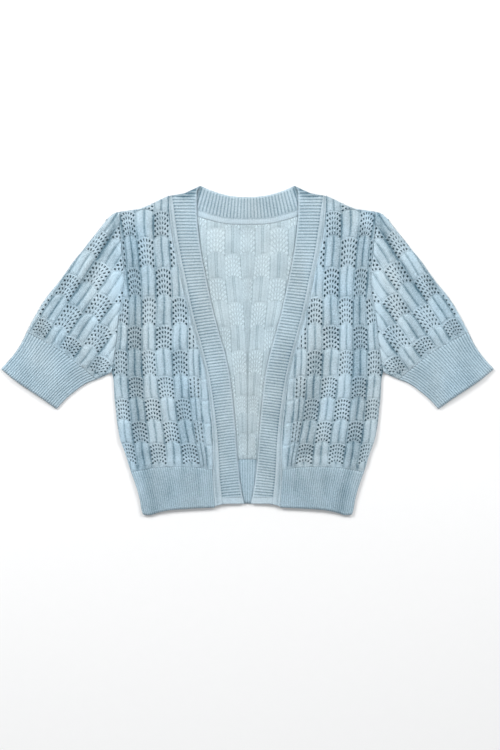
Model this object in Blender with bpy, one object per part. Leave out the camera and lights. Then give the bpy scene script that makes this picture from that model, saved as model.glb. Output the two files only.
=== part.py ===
"""A short-sleeve open cardigan in fine knit, lying flat and face up.

Sizes are millimetres until a point is made. "out" is the distance from the centre line, "up" the distance
above the middle of the garment's height, and z rises from the surface it lies on. The wearer's left side
is at +X. Every piece is a wall: a fine outer face that carries the ribs, over a plain inner face.
"""
from collections import namedtuple

import bmesh
import bpy
from mathutils import Vector
from mathutils.geometry import delaunay_2d_cdt, intersect_point_line

MM = 0.001
SEAM_GAP = 0.3

# Walls and relief
PANEL_WALL = 1.6
HEM_WALL = 1.8
BAND_WALL = 1.9
RIB_RISE = 0.9
RIDGE_RISE = 1.2
INSIDE_RIDGE_RISE = 0.5
ROLL_RISE = 0.7
EDGE_DROP = 0.5
EDGE_WIDTH = 2.0

# How far relief stays clear of the edge of its piece
LINE_MARGIN = 3.2
RIB_MARGIN = 1.0
OPENING_RIB_MARGIN = 1.6
TUBE_BLOCK_MARGIN = 4.6
BORDER_INSET = 0.8

# The front layer over the back layer, and the hollow of the sleeves
FRONT_FLOOR = 2.2
FRONT_PUFF = 3.4
SLEEVE_FLOOR = 1.9
SLEEVE_PUFF = 4.2
PUFF_REACH = 30.0
FREE_EDGE_PUFF = 0.12
PUFF_AT_ARMHOLE = 0.55
PUFF_AT_HEM = 0.3
SLEEVE_PUFF_AT_ARMHOLE = 0.45
SLEEVE_PUFF_AT_END = 0.45
LATTICE_STEP = 17.0

# The bend of a flattened tube at its folds: distances in from the fold, and shares of the wall
FOLD_HEIGHT = 1.8
FOLD_RADIUS = 1.6
BEND_NEAR = 1.28
BEND_FAR = 3.84
BEND_DROP = 0.35
BEND_LIFT = 0.3

# Ribs of the bands, hems and cuffs
BAND_TOP = 228.0
BAND_BOTTOM = -226.0
BAND_STEPS = 24
BAND_PITCH_TOP = 4.8
BAND_PITCH_BOTTOM = 4.0
NECK_PITCH = 4.5
NECK_FAN = 1.2
NECK_RIBS = 15
NECK_RIB_DROP = 1.4
NECK_FOOT_SHARE = 0.86
HEM_RIBS = 36
HEM_RIB_SPAN = (0.015, 0.985)
BACK_HEM_PITCH = 3.5
BACK_HEM_RIBS = 5
BACK_HEM_SIDE_GAP = 0.4
CUFF_RIBS = 29
CUFF_RIB_SPAN = (0.04, 0.96)
RIB_STATIONS = (0.03, 0.5, 0.97)

COLOURS = {
    "panel": (0.42, 0.56, 0.64),
    "sleeve": (0.41, 0.55, 0.63),
    "rib": (0.36, 0.50, 0.57),
    "band": (0.42, 0.57, 0.64),
    "inside": (0.48, 0.63, 0.67),
}

Share = namedtuple("Share", "place rise")
Fold = namedtuple("Fold", "path half_width depth")
BandRow = namedtuple("BandRow", "up free_edge rib_start seam tilt")
WaleRow = namedtuple("WaleRow", "up first second third fourth fifth sixth seventh")
BackRow = namedtuple("BackRow", "up outer middle inner")
SleeveRow = namedtuple("SleeveRow", "down first second third fourth fifth sixth")
Strip = namedtuple("Strip", "top bottom near far")


def spots(*pairs):
    """Points from pairs of out and up."""
    return [Vector(pair) for pair in pairs]


# Outlines of the right-hand half, each pair out and up
SHOULDER = spots(
    (116.2, 231.8), (131.2, 225.8), (146.2, 218.2), (161.2, 212.2), (176.2, 210.0), (191.2, 207.8))
ARMHOLE = spots(
    (191.2, 207.8), (191.0, 188.0), (189.8, 165.8), (186.8, 135.8), (184.5, 113.2), (185.8, 95.2),
    (187.5, 75.8), (191.2, 60.8), (193.5, 45.8), (194.6, 30.8), (195.8, 15.8), (198.0, 0.8),
    (200.2, -14.2), (203.2, -32.2))
SIDE = spots(
    (203.2, -32.2), (200.7, -44.2), (199.9, -59.0), (199.0, -74.2), (197.2, -89.2), (195.8, -104.2),
    (193.5, -119.2), (190.5, -134.2), (184.8, -149.2), (180.0, -164.2), (174.5, -182.2))
HEM_LINE = spots(
    (174.5, -182.2), (153.8, -177.8), (131.2, -174.8), (101.2, -174.0), (71.2, -175.5), (52.0, -179.0))
HEM_SIDE = spots(
    (174.5, -182.2), (170.0, -194.2), (165.0, -209.2), (161.2, -224.2), (159.0, -238.0), (156.8, -245.6))
HEM_BOTTOM = spots(
    (156.8, -245.6), (146.2, -246.8), (131.2, -242.2), (116.2, -239.2), (86.2, -237.0), (48.8, -235.2))
OUTER_FOLD = spots(
    (191.6, 207.8), (198.0, 206.6), (206.2, 200.7), (216.8, 188.2), (226.2, 176.2), (236.2, 164.2),
    (246.3, 150.8), (258.8, 135.8), (271.2, 118.2), (283.0, 101.8), (293.7, 89.2), (303.8, 75.8),
    (311.8, 63.0), (321.3, 45.8), (330.8, 27.8))
CUFF_SEAM = spots(
    (330.8, 27.8), (316.8, 20.6), (303.8, 13.6), (284.2, 3.0), (266.2, -9.8), (248.2, -24.8), (226.0, -43.0))
UNDER_FOLD = spots((226.0, -43.0), (214.5, -38.0), (203.6, -32.9))
CUFF_OUTER = spots((331.0, 27.5), (336.3, 15.8), (345.0, 0.8), (356.2, -13.6), (369.3, -27.8))
CUFF_END = spots((369.3, -27.8), (352.0, -42.0), (333.8, -54.8), (308.7, -71.4), (286.2, -87.8))
CUFF_UNDER = spots((226.2, -43.3), (239.0, -48.0), (251.2, -55.5), (271.2, -71.7), (286.2, -87.8))

# The shoulder fold of the band, from the neck peak outwards, and the back neck
BAND_FOLD = spots((70.5, 246.8), (78.8, 242.6), (86.2, 239.2), (93.8, 235.6), (104.0, 233.6), (115.9, 231.9))
NECK_EDGE = spots((0.0, 230.2), (11.2, 230.3), (26.2, 231.8), (41.2, 235.4), (56.2, 240.6), (70.5, 246.8))
NECK_RIB_END = spots((0.0, 197.4), (26.2, 198.6), (56.2, 203.8), (80.0, 210.0), (96.0, 216.0))
NECK_SEAM = spots(
    (0.0, 188.6), (26.2, 189.1), (41.2, 191.2), (56.2, 195.0), (74.2, 200.6), (95.0, 211.0), (115.9, 231.9))

# The back hem, hidden at its sides under the front hems
BACK_HEM_TOP = spots((0.0, -162.8), (40.0, -163.6), (80.0, -168.0), (130.0, -175.4), (174.5, -182.2))
BACK_HEM_BOTTOM = spots(
    (0.0, -229.6), (30.0, -229.8), (48.0, -232.0), (86.0, -235.0), (116.0, -237.4), (131.0, -240.4),
    (146.2, -245.0), (156.4, -244.8))

# The corners of the front band, at the neck and at the hem
BAND_PEAK = Vector((75.6, 239.0))
BAND_FOOT = spots((5.2, -229.2), (36.6, -229.6), (48.5, -233.4))

# The front band, from its shoulder fold down to the hem
BAND_ROWS = [
    BandRow(232.0, 75.8, 113.0, 117.2, 0.0),
    BandRow(210.8, 75.8, 109.6, 117.0, 0.0),
    BandRow(195.8, 75.3, 107.6, 115.8, 0.0),
    BandRow(165.8, 72.0, 103.4, 111.5, 0.4),
    BandRow(135.8, 67.6, 98.2, 105.3, 1.2),
    BandRow(105.8, 61.6, 91.6, 98.9, 2.4),
    BandRow(75.8, 55.6, 85.4, 92.2, 4.0),
    BandRow(45.8, 48.6, 78.6, 84.6, 4.4),
    BandRow(15.8, 40.4, 70.4, 75.8, 4.4),
    BandRow(-14.2, 31.8, 62.2, 67.6, 3.8),
    BandRow(-44.2, 25.9, 55.6, 61.0, 3.0),
    BandRow(-74.2, 22.4, 50.8, 57.2, 2.2),
    BandRow(-104.2, 19.4, 46.8, 54.1, 1.6),
    BandRow(-134.2, 17.2, 43.9, 52.2, 1.0),
    BandRow(-164.2, 15.0, 42.2, 51.7, 0.4),
    BandRow(-194.2, 11.8, 40.6, 51.2, 0.0),
    BandRow(-215.0, 8.4, 38.2, 50.0, 0.0),
    BandRow(-229.4, 5.2, 36.6, 48.5, 0.0),
]

# Edges between the front's columns of blocks at each change of row, from the band outwards
FRONT_WALES = [
    WaleRow(236.0, 72.0, 94.0, 118.5, 140.5, 167.0, 190.5, 212.0),
    WaleRow(204.8, 72.0, 94.0, 117.8, 140.2, 166.5, 189.8, 210.0),
    WaleRow(164.2, 72.0, 93.5, 117.0, 140.2, 164.2, 188.2, 208.0),
    WaleRow(119.2, 72.0, 92.0, 114.8, 138.0, 161.2, 180.5, 201.0),
    WaleRow(75.0, 72.0, 90.8, 113.2, 136.5, 158.2, 177.0, 198.5),
    WaleRow(33.0, 72.0, 89.2, 112.5, 137.2, 158.2, 179.2, 199.5),
    WaleRow(-3.8, 72.0, 89.2, 112.5, 138.0, 159.0, 180.0, 201.5),
    WaleRow(-42.8, 71.0, 88.5, 111.0, 135.0, 156.8, 178.5, 201.0),
    WaleRow(-75.8, 70.0, 86.2, 108.0, 131.2, 154.5, 177.0, 198.5),
    WaleRow(-109.5, 67.0, 81.8, 104.2, 127.5, 151.5, 174.0, 196.0),
    WaleRow(-142.5, 63.5, 76.5, 99.8, 123.0, 147.0, 169.5, 191.0),
    WaleRow(-173.2, 60.0, 71.2, 96.8, 120.0, 143.2, 165.0, 186.0),
]

# The same for the inside of the back, which shows in the opening, from the side towards the centre
BACK_WALES = [
    BackRow(179.2, 60.8, 33.8, 11.2),
    BackRow(140.2, 60.8, 33.8, 11.2),
    BackRow(104.2, 57.8, 33.0, 8.2),
    BackRow(68.2, 54.8, 29.2, 6.0),
    BackRow(30.8, 45.8, 25.5, 3.8),
    BackRow(-3.8, 44.2, 24.0, 2.2),
    BackRow(-39.8, 39.8, 20.2, 1.2),
    BackRow(-74.2, 36.0, 17.2, 0.8),
    BackRow(-108.8, 33.0, 14.2, 0.5),
    BackRow(-143.2, 30.0, 11.2, 0.4),
    BackRow(-160.0, 29.0, 10.0, 0.4),
]

# The sleeve's columns, measured down the sleeve from the shoulder point and across from its outer fold
SLEEVE_ORIGIN = Vector((192.3, 208.2))
SLEEVE_DOWN = Vector((0.5457, -0.8380))
SLEEVE_ACROSS = Vector((-0.8380, -0.5457))
SLEEVE_WALES = [
    SleeveRow(4.0, -14.0, 11.0, 40.0, 69.0, 97.0, 125.0),
    SleeveRow(43.0, -14.0, 11.0, 40.0, 69.0, 97.0, 125.0),
    SleeveRow(82.0, -14.0, 11.0, 40.0, 68.5, 96.0, 123.0),
    SleeveRow(121.0, -14.0, 11.0, 39.5, 68.0, 95.0, 122.0),
    SleeveRow(159.0, -14.0, 11.0, 38.5, 66.0, 92.5, 119.0),
    SleeveRow(199.0, -12.5, 11.0, 37.0, 64.0, 90.5, 116.0),
    SleeveRow(228.0, -12.0, 11.0, 36.5, 63.0, 90.0, 115.0),
]

# Two rounded ridges to a block, and where they rise along it
RIDGE_ACROSS = [
    Share(0.03, 0.0), Share(0.16, 1.0), Share(0.36, 1.0), Share(0.50, 0.0),
    Share(0.64, 1.0), Share(0.84, 1.0), Share(0.97, 0.0)]
RIDGE_ALONG = [Share(0.02, 0.0), Share(0.09, 1.0), Share(0.5, 1.0), Share(0.91, 1.0), Share(0.98, 0.0)]
INSIDE_ACROSS = [Share(0.03, 0.0), Share(0.26, 1.0), Share(0.5, 0.0), Share(0.74, 1.0), Share(0.97, 0.0)]
LACE_ALONG = [Share(0.15, 0.0), Share(0.5, 0.0), Share(0.85, 0.0)]
RIB_ACROSS = [Share(0.0, 0.0), Share(0.3, 1.0), Share(0.7, 1.0)]

# Places across the front band: 0 at its seam, 1 where its ribs start and 2 at its free edge
BAND_RIB_ACROSS = (1.03, 1.35, 1.65, 1.95)
BAND_ROLL = [Share(0.28, 1.0), Share(0.62, 1.0), Share(0.88, 0.0)]

# Heights at which the free edge of the band bounds what shows of the back
OPENING_HEIGHTS = (210.0, 165.8, 120.0, 75.8, 45.8, 15.8, -14.2, -44.2, -104.2, -164.2, -229.0)
NECK_OPENING_HEIGHTS = (150.0, 180.0, 210.0, 236.0)
NECK_OPENING_TOP = spots((72.0, 244.0))
BACK_HEM_RIB_HEIGHTS = (-226.0, -206.0, -186.0, -166.0)

# The largest folds: soft troughs in the front layer and the sleeves
FRONT_FOLDS = [
    Fold(
        spots((176.0, 175.0), (169.0, 75.8), (165.8, -29.2), (167.2, -104.2), (157.0, -164.2),
              (146.0, -240.0)),
        12.0, 0.85),
    Fold(spots((104.0, -10.0), (99.0, -80.0), (92.0, -150.0)), 9.0, 0.55),
    Fold(spots((136.0, 205.0), (133.0, 110.0), (130.0, 20.0)), 8.0, 0.45),
    Fold(spots((84.0, -60.0), (72.0, -160.0), (70.0, -215.0)), 7.0, 0.4),
]
SLEEVE_FOLDS = [
    Fold(spots((195.0, 190.0), (231.0, 126.0), (262.0, 70.0)), 9.0, 0.8),
    Fold(spots((236.0, 60.0), (252.0, 20.0), (262.0, -6.0)), 9.0, 0.5),
    Fold(spots((272.0, 108.0), (293.0, 62.0), (310.0, 22.0)), 8.0, 0.6),
    Fold(spots((206.0, 60.0), (214.0, 10.0), (226.0, -32.0)), 8.0, 0.5),
]


def ease(value):
    """0 at 0, 1 at 1, with level ends."""
    value = min(max(value, 0.0), 1.0)
    return value * value * (3.0 - 2.0 * value)


def mirrored(points):
    """The same points on the other side of the centre line, in reverse order."""
    return [Vector((-point.x, point.y)) for point in reversed(points)]


def moved(points, out=0.0, up=0.0):
    """The points shifted."""
    return [point + Vector((out, up)) for point in points]


def along(points, share):
    """The point at a share of a path's length."""
    spans = [(b - a).length for a, b in zip(points, points[1:])]
    left = share * sum(spans)
    for start, end, span in zip(points, points[1:], spans):
        if left <= span:
            return start.lerp(end, left / span)
        left -= span
    return points[-1].copy()


def column(rows, key, name, at):
    """A table's column at a place between its rows, on a smooth curve."""
    rows = sorted(rows, key=lambda row: getattr(row, key))
    keys = [getattr(row, key) for row in rows]
    values = [getattr(row, name) for row in rows]
    at = min(max(at, keys[0]), keys[-1])
    index = max(i for i in range(len(keys) - 1) if keys[i] <= at)
    before, after = max(index - 1, 0), min(index + 2, len(keys) - 1)
    span = keys[index + 1] - keys[index]
    slope_in = (values[index + 1] - values[before]) / (keys[index + 1] - keys[before]) * span
    slope_out = (values[after] - values[index]) / (keys[after] - keys[index]) * span
    t = (at - keys[index]) / span
    rise = values[index + 1] - values[index]
    return (values[index] + slope_in * t + (3.0 * rise - 2.0 * slope_in - slope_out) * t ** 2
            + (slope_in + slope_out - 2.0 * rise) * t ** 3)


def distance_to(point, path):
    """The distance from a point to a path."""
    best = 1e9
    for start, end in zip(path, path[1:]):
        foot, share = intersect_point_line(point, start, end)
        foot = start if share < 0.0 else end if share > 1.0 else foot.to_2d()
        best = min(best, (point - foot).length)
    return best


def is_inside(point, outline, margin):
    """Whether a point lies inside an outline and a margin clear of it."""
    crossings = 0
    ring = outline + outline[:1]
    for a, b in zip(ring, ring[1:]):
        if (a.y > point.y) != (b.y > point.y):
            if point.x < a.x + (b.x - a.x) * (point.y - a.y) / (b.y - a.y):
                crossings += 1
    return crossings % 2 == 1 and distance_to(point, ring) >= margin


def kept(point, path, reach, least):
    """The share of a puff that is kept near a path: the least on it, all of it from reach away."""
    return least + (1.0 - least) * ease(distance_to(point, path) / reach)


def fold_factor(point, folds):
    """What the troughs leave of the puff at a point."""
    factor = 1.0
    for fold in folds:
        nearness = 1.0 - ease(distance_to(point, fold.path) / (2.0 * fold.half_width))
        factor *= 1.0 - fold.depth * nearness
    return factor


def band_edge(up):
    """The free edge of the front band at a height."""
    return Vector((column(BAND_ROWS, "up", "free_edge", up), up))


SLEEVE_EDGES = OUTER_FOLD + CUFF_OUTER
SLEEVE_UNDER_EDGES = UNDER_FOLD[::-1] + CUFF_UNDER


def resting(point):
    """Height of the underside of a piece that lies on the surface."""
    return 0.0


def front_under(point):
    """Height of the front layer's underside."""
    from_rim = min(distance_to(point, SHOULDER), distance_to(point, SIDE + HEM_SIDE))
    from_free_edge = point.x - band_edge(point.y).x
    puff = FRONT_PUFF * ease(from_rim / PUFF_REACH)
    puff *= ease(FREE_EDGE_PUFF + from_free_edge / (2.0 * PUFF_REACH))
    puff *= kept(point, ARMHOLE, PUFF_REACH, PUFF_AT_ARMHOLE)
    puff *= kept(point, HEM_BOTTOM, 3.0 * PUFF_REACH, PUFF_AT_HEM)
    return FRONT_FLOOR + puff * fold_factor(point, FRONT_FOLDS)


def sleeve_under(point):
    """Height of the underside of a sleeve's and a cuff's upper wall."""
    from_fold = min(distance_to(point, SLEEVE_EDGES), distance_to(point, SLEEVE_UNDER_EDGES))
    puff = SLEEVE_PUFF * ease(from_fold / PUFF_REACH)
    puff *= kept(point, ARMHOLE, PUFF_REACH, SLEEVE_PUFF_AT_ARMHOLE)
    puff *= kept(point, CUFF_END, 2.0 * PUFF_REACH, SLEEVE_PUFF_AT_END)
    return SLEEVE_FLOOR + puff * fold_factor(point, SLEEVE_FOLDS)


def patch_point(strip, across, down):
    """A point of the four-sided strip between its top, bottom, near and far edges."""
    top, bottom = along(strip.top, across), along(strip.bottom, across)
    near, far = along(strip.near, down), along(strip.far, down)
    flat_top = strip.top[0].lerp(strip.top[-1], across)
    flat_bottom = strip.bottom[0].lerp(strip.bottom[-1], across)
    return top.lerp(bottom, down) + near.lerp(far, across) - flat_top.lerp(flat_bottom, down)


def inset(outline, distance):
    """The outline moved inwards. The outline runs anticlockwise."""
    ring = []
    for before, point, after in zip(outline[-1:] + outline, outline, outline[1:] + outline[:1]):
        first, second = (point - before).normalized(), (after - point).normalized()
        normal = (first.orthogonal() + second.orthogonal()).normalized()
        ring.append(point + normal * distance / max(normal.dot(first.orthogonal()), 0.5))
    return ring


def clipped(line, window, margin=LINE_MARGIN):
    """The runs of a line's (point, rise) stations that lie inside a window."""
    runs, run = [], []
    for point, rise in line:
        if is_inside(point, window, margin):
            run.append((point, rise))
        else:
            runs.append(run)
            run = []
    runs.append(run)
    return [run for run in runs if len(run) > 1]


def level_border(window, outline):
    """A level line just inside a window, which ends its relief there."""
    ring = inset(anticlockwise(window), BORDER_INSET)
    return clipped([(point, 0.0) for point in ring + ring[:1]], outline, RIB_MARGIN)


def block_lines(place, window, rise, is_lace):
    """The lines of one block: two ridges, or the level middle of a lace block."""
    lines = []
    ridges = INSIDE_ACROSS if rise < RIDGE_RISE else RIDGE_ACROSS
    for across in [Share(0.5, 0.0)] if is_lace else ridges:
        stations = LACE_ALONG if is_lace else RIDGE_ALONG
        line = [(place(across.place, down.place), rise * across.rise * down.rise) for down in stations]
        lines += clipped(line, window)
    return lines


def grid_blocks(rows, key, names, to_point, window, rise, lace_first):
    """Blocks of ridges and lace that change places at each row and column of a table."""
    lines = []
    for row, (upper, lower) in enumerate(zip(rows, rows[1:])):
        for col, (near, far) in enumerate(zip(names, names[1:])):
            def place(across, down, upper=upper, lower=lower, near=near, far=far):
                at = getattr(upper, key) + (getattr(lower, key) - getattr(upper, key)) * down
                start, end = column(rows, key, near, at), column(rows, key, far, at)
                return to_point(start + (end - start) * across, at)
            lines += block_lines(place, window, rise, (row + col) % 2 == lace_first)
    return lines


def rib_lines(strip, count, span, window):
    """Ribs from the top edge of a strip to its bottom edge, over a span of its width."""
    first, last = span
    lines = []
    for rib in range(count):
        for part in RIB_ACROSS:
            across = first + (last - first) * (rib + part.place) / count
            line = [(patch_point(strip, across, down), RIB_RISE * part.rise) for down in RIB_STATIONS]
            lines += clipped(line, window, RIB_MARGIN)
    return lines


def lattice(outline, under):
    """Spaced points inside an outline, each a line of its own, for a plain face that isn't level."""
    lines = []
    if under is resting:
        return lines
    lowest, highest = min(p.y for p in outline), max(p.y for p in outline)
    nearest_x, farthest_x = min(p.x for p in outline), max(p.x for p in outline)
    for row in range(1, int((highest - lowest) / LATTICE_STEP) + 1):
        for col in range(1, int((farthest_x - nearest_x) / LATTICE_STEP) + 1):
            shift = 0.5 * (row % 2)
            point = Vector((nearest_x + (col - shift) * LATTICE_STEP, lowest + (row - 0.5) * LATTICE_STEP))
            if is_inside(point, outline, LATTICE_STEP * 0.3):
                lines.append([(point, 0.0)])
    return lines


def lay_sheet(mesh, outline, lines, height, side, known=None):
    """One face of a wall: triangles over an outline, through every line's points.

    Returns the vertices by their place. Vertices in known are used again.
    """
    outline = anticlockwise(outline)
    points, rises, edges = list(outline), [0.0] * len(outline), []
    for line in lines:
        for index, (point, rise) in enumerate(line):
            if index:
                edges.append((len(points) - 1, len(points)))
            points.append(point)
            rises.append(rise)
    cut = delaunay_2d_cdt(points, edges, [list(range(len(outline)))], 1, 1e-4)
    laid, verts = {}, []
    for point, sources in zip(cut[0], cut[3]):
        place = (round(point.x, 2), round(point.y, 2))
        rise = max([rises[source] for source in sources], default=0.0)
        vert = (known or {}).get(place)
        if vert is None:
            vert = mesh.verts.new(Vector((side * point.x, point.y, height(point) + rise)) * MM)
        laid[place] = vert
        verts.append(vert)
    for face, inside in zip(cut[2], cut[5]):
        if inside:
            mesh.faces.new([verts[corner] for corner in face])
    return laid


def on_edge(laid, start, end):
    """A sheet's vertices on one straight edge of its outline, in order."""
    direction = (end - start).normalized()
    length = (end - start).length
    found = []
    for place, vert in laid.items():
        offset = Vector(place) - start
        if abs(offset.dot(direction.orthogonal())) < 0.02 and -0.02 < offset.dot(direction) < length + 0.02:
            found.append((offset.dot(direction), vert))
    return [vert for _, vert in sorted(found, key=lambda pair: pair[0])]


def close_edge(mesh, path, first, second):
    """The rim between two sheets along a path."""
    for start, end in zip(path, path[1:]):
        mesh.faces.new(on_edge(first, start, end) + on_edge(second, start, end)[::-1])


def finish(mesh, name, colour):
    """The mesh as a named object with its own material."""
    bmesh.ops.recalc_face_normals(mesh, faces=mesh.faces)
    data = bpy.data.meshes.new(name)
    mesh.to_mesh(data)
    mesh.free()
    material = bpy.data.materials.new(name + "_knit")
    material.use_nodes = True
    shader = material.node_tree.nodes["Principled BSDF"]
    shader.inputs["Base Color"].default_value = (*COLOURS[colour], 1.0)
    shader.inputs["Roughness"].default_value = 0.9
    shader.inputs["Metallic"].default_value = 0.0
    data.materials.append(material)
    data.shade_smooth()
    data.set_sharp_from_angle(angle=0.7)
    bpy.context.scene.collection.objects.link(bpy.data.objects.new(name, data))


def anticlockwise(outline):
    """The outline with its points in anticlockwise order."""
    ring = outline + outline[:1]
    turn = sum(a.x * b.y - b.x * a.y for a, b in zip(ring, ring[1:]))
    return outline if turn > 0.0 else outline[::-1]


def make_panel(name, outline, lines, under, wall, side, colour):
    """A flat piece: its plain face at height under, its ribbed face one wall above it."""
    outline = anticlockwise(outline)
    soft_edge = [(point, EDGE_DROP) for point in inset(outline, EDGE_WIDTH)]
    mesh = bmesh.new()
    top = lay_sheet(mesh, outline, lines_above(lines, EDGE_DROP) + [soft_edge + soft_edge[:1]],
                    lambda point: under(point) + wall - EDGE_DROP, side)
    bottom = lay_sheet(mesh, outline, lattice(outline, under), under, side)
    close_edge(mesh, outline + outline[:1], top, bottom)
    finish(mesh, name, colour)


def lines_above(lines, lift):
    """The lines with every station raised."""
    return [[(point, rise + lift) for point, rise in line] for line in lines]


def tube_inner_side(path, before, after, distance):
    """A fold side moved into the tube, with its ends kept on the open edges."""
    inner = [path[0] + (before - path[0]).normalized() * distance]
    middle = (before + after) * 0.5
    for previous, point, following in zip(path, path[1:], path[2:]):
        normal = (following - previous).orthogonal().normalized()
        if normal.dot(middle - point) < 0.0:
            normal.negate()
        inner.append(point + normal * distance)
    inner.append(path[-1] + (after - path[-1]).normalized() * distance)
    return inner


def make_tube(name, folds, ends, lines, under, wall, side, colour):
    """A flattened tube: two walls joined along its two folds, open at both ends.

    The outline is folds[0], ends[0], folds[1], ends[1], head to tail.
    """
    def inner_sides(distance):
        return [tube_inner_side(folds[0], ends[1][-2], ends[0][1], distance),
                tube_inner_side(folds[1], ends[0][-2], ends[1][1], distance)]

    def level_line(path, rise):
        return [(point, rise) for point in path]

    hollow = inner_sides(FOLD_RADIUS)
    inner_outline = hollow[0] + ends[0][1:-1] + hollow[1] + ends[1][1:-1]
    near, far = inner_sides(BEND_NEAR), inner_sides(BEND_FAR)
    outline = folds[0] + [near[0][-1], far[0][-1]] + ends[0][1:-1] + [far[1][0], near[1][0]]
    outline += folds[1] + [near[1][-1], far[1][-1]] + ends[1][1:-1] + [far[0][0], near[0][0]]
    at_fold = {(round(p.x, 2), round(p.y, 2)) for path in folds for p in path}
    at_hollow = {(round(p.x, 2), round(p.y, 2)) for path in hollow for p in path}

    def upper_height(point):
        if (round(point.x, 2), round(point.y, 2)) in at_fold:
            return FOLD_HEIGHT
        return under(point) + wall

    def lower_height(point):
        if (round(point.x, 2), round(point.y, 2)) in at_fold:
            return FOLD_HEIGHT
        return 0.0

    def hollow_top(point):
        if (round(point.x, 2), round(point.y, 2)) in at_hollow:
            return FOLD_HEIGHT
        return under(point)

    def hollow_floor(point):
        if (round(point.x, 2), round(point.y, 2)) in at_hollow:
            return FOLD_HEIGHT
        return wall

    mesh = bmesh.new()
    upper_edges = [level_line(path, -BEND_DROP * wall) for path in near]
    upper_edges += [level_line(path, 0.0) for path in far]
    lower_edges = [level_line(path, BEND_LIFT * wall) for path in near]
    lower_edges += [level_line(path, 0.0) for path in far]
    upper = lay_sheet(mesh, outline, lines + upper_edges, upper_height, side)
    shared = {place: upper[place] for place in at_fold}
    lower = lay_sheet(mesh, outline, lower_edges, lower_height, side, shared)
    ceiling = lay_sheet(mesh, inner_outline, lattice(inner_outline, under), hollow_top, side)
    shared = {place: ceiling[place] for place in at_hollow}
    floor = lay_sheet(mesh, inner_outline, [], hollow_floor, side, shared)
    for end in ends:
        close_edge(mesh, end, upper, ceiling)
        close_edge(mesh, end, lower, floor)
    finish(mesh, name, colour)


def band_point(up, across):
    """A point of the front band: across is 0 at its seam, 1 where its ribs start and 2 at its free edge."""
    seam, start, free = (column(BAND_ROWS, "up", name, up) for name in ("seam", "rib_start", "free_edge"))
    tilt = column(BAND_ROWS, "up", "tilt", up)
    if across <= 1.0:
        return Vector((seam + (start - seam) * across, up))
    return Vector((start + (free - start) * (across - 1.0), up + tilt * (across - 1.0)))


def opening():
    """The V that the front bands leave open, over the back."""
    edge = [band_edge(up) for up in OPENING_HEIGHTS]
    return edge + mirrored(edge)


def make_front_band(name, side):
    """The ribbed strip down one front edge, with the rolled jersey strip at its seam."""
    length = BAND_TOP - BAND_BOTTOM
    heights = [BAND_TOP - length * step / BAND_STEPS for step in range(BAND_STEPS + 1)]
    free_side = [band_point(up, 2.0) for up in heights]
    outline = BAND_FOLD[::-1] + [BAND_PEAK] + free_side + BAND_FOOT
    outline += [band_point(up, 0.0) for up in reversed(heights)]
    outline = anticlockwise(outline)
    lines = []
    up = BAND_BOTTOM + 0.5 * BAND_PITCH_BOTTOM
    while up < BAND_FOLD[0].y:
        pitch = BAND_PITCH_BOTTOM + (BAND_PITCH_TOP - BAND_PITCH_BOTTOM) * (up - BAND_BOTTOM) / length
        stations = BAND_RIB_ACROSS if up + pitch > BAND_TOP else (BAND_RIB_ACROSS[0], BAND_RIB_ACROSS[-1])
        for part in RIB_ACROSS:
            at = up + part.place * pitch
            line = [(band_point(at, across), RIB_RISE * part.rise) for across in stations]
            lines += clipped(line, outline, RIB_MARGIN)
        up += pitch
    for part in BAND_ROLL:
        line = [(band_point(up, part.place), ROLL_RISE * part.rise) for up in heights[1:-1]]
        lines += clipped(line, outline, RIB_MARGIN)
    mesh = bmesh.new()
    top = lay_sheet(mesh, outline, lines_above(lines, EDGE_DROP),
                    lambda point: front_under(point) + BAND_WALL - EDGE_DROP, side)
    bottom = lay_sheet(mesh, outline, lattice(outline, front_under), front_under, side)
    close_edge(mesh, outline + outline[:1], top, bottom)
    finish(mesh, name, "band")


def make_front_panel(name, side):
    """One lace and rib front, from the shoulder to the hem rib."""
    rows = [row for row in BAND_ROWS[1:] if row.up > HEM_LINE[-1].y]
    seam = moved([band_point(row.up, 0.0) for row in reversed(rows)], SEAM_GAP)
    outline = seam + moved(SHOULDER[:1], 1.2) + SHOULDER[1:] + ARMHOLE[1:] + SIDE[1:] + HEM_LINE[1:]
    outline = anticlockwise(outline)
    lines = grid_blocks(FRONT_WALES, "up", WaleRow._fields[1:], lambda out, up: Vector((out, up)),
                        outline, RIDGE_RISE, 1)
    make_panel(name, outline, lines, front_under, PANEL_WALL, side, "panel")


def make_front_hem(name, side):
    """The rib welt under one front."""
    top = moved(HEM_LINE, up=-SEAM_GAP)[::-1]
    seam = moved([band_point(row.up, 0.0) for row in BAND_ROWS if row.up < HEM_LINE[-1].y], SEAM_GAP)
    bottom = moved(HEM_BOTTOM[-1:], SEAM_GAP) + HEM_BOTTOM[::-1][1:]
    strip = Strip(top, bottom, top[:1] + seam + bottom[:1], top[-1:] + HEM_SIDE[1:])
    outline = top + HEM_SIDE[1:] + bottom[::-1][1:] + seam[::-1]
    lines = rib_lines(strip, HEM_RIBS, HEM_RIB_SPAN, anticlockwise(outline))
    make_panel(name, outline, lines, front_under, HEM_WALL, side, "rib")


def make_back_panel(name):
    """The back, from the neck seam and shoulders to its hem rib; its inside shows in the opening."""
    neck = moved(NECK_SEAM, up=-SEAM_GAP)[:-1] + spots((116.2, 231.2))
    hem = moved(BACK_HEM_TOP, up=SEAM_GAP)[::-1]
    half = neck[1:] + SHOULDER[1:] + ARMHOLE[1:] + SIDE[1:-1] + hem[:-1]
    outline = anticlockwise(neck[:1] + half + [hem[-1]] + mirrored(half))
    lines = []
    window = opening()
    fields = ("outer", "middle", "inner")
    for flip in (1.0, -1.0):
        lines += grid_blocks(BACK_WALES, "up", fields, lambda out, up, flip=flip: Vector((flip * out, up)),
                             window, INSIDE_RIDGE_RISE, 0)
    lines += level_border(window, outline)
    make_panel(name, outline, lines, resting, PANEL_WALL, 1.0, "inside")


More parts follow.
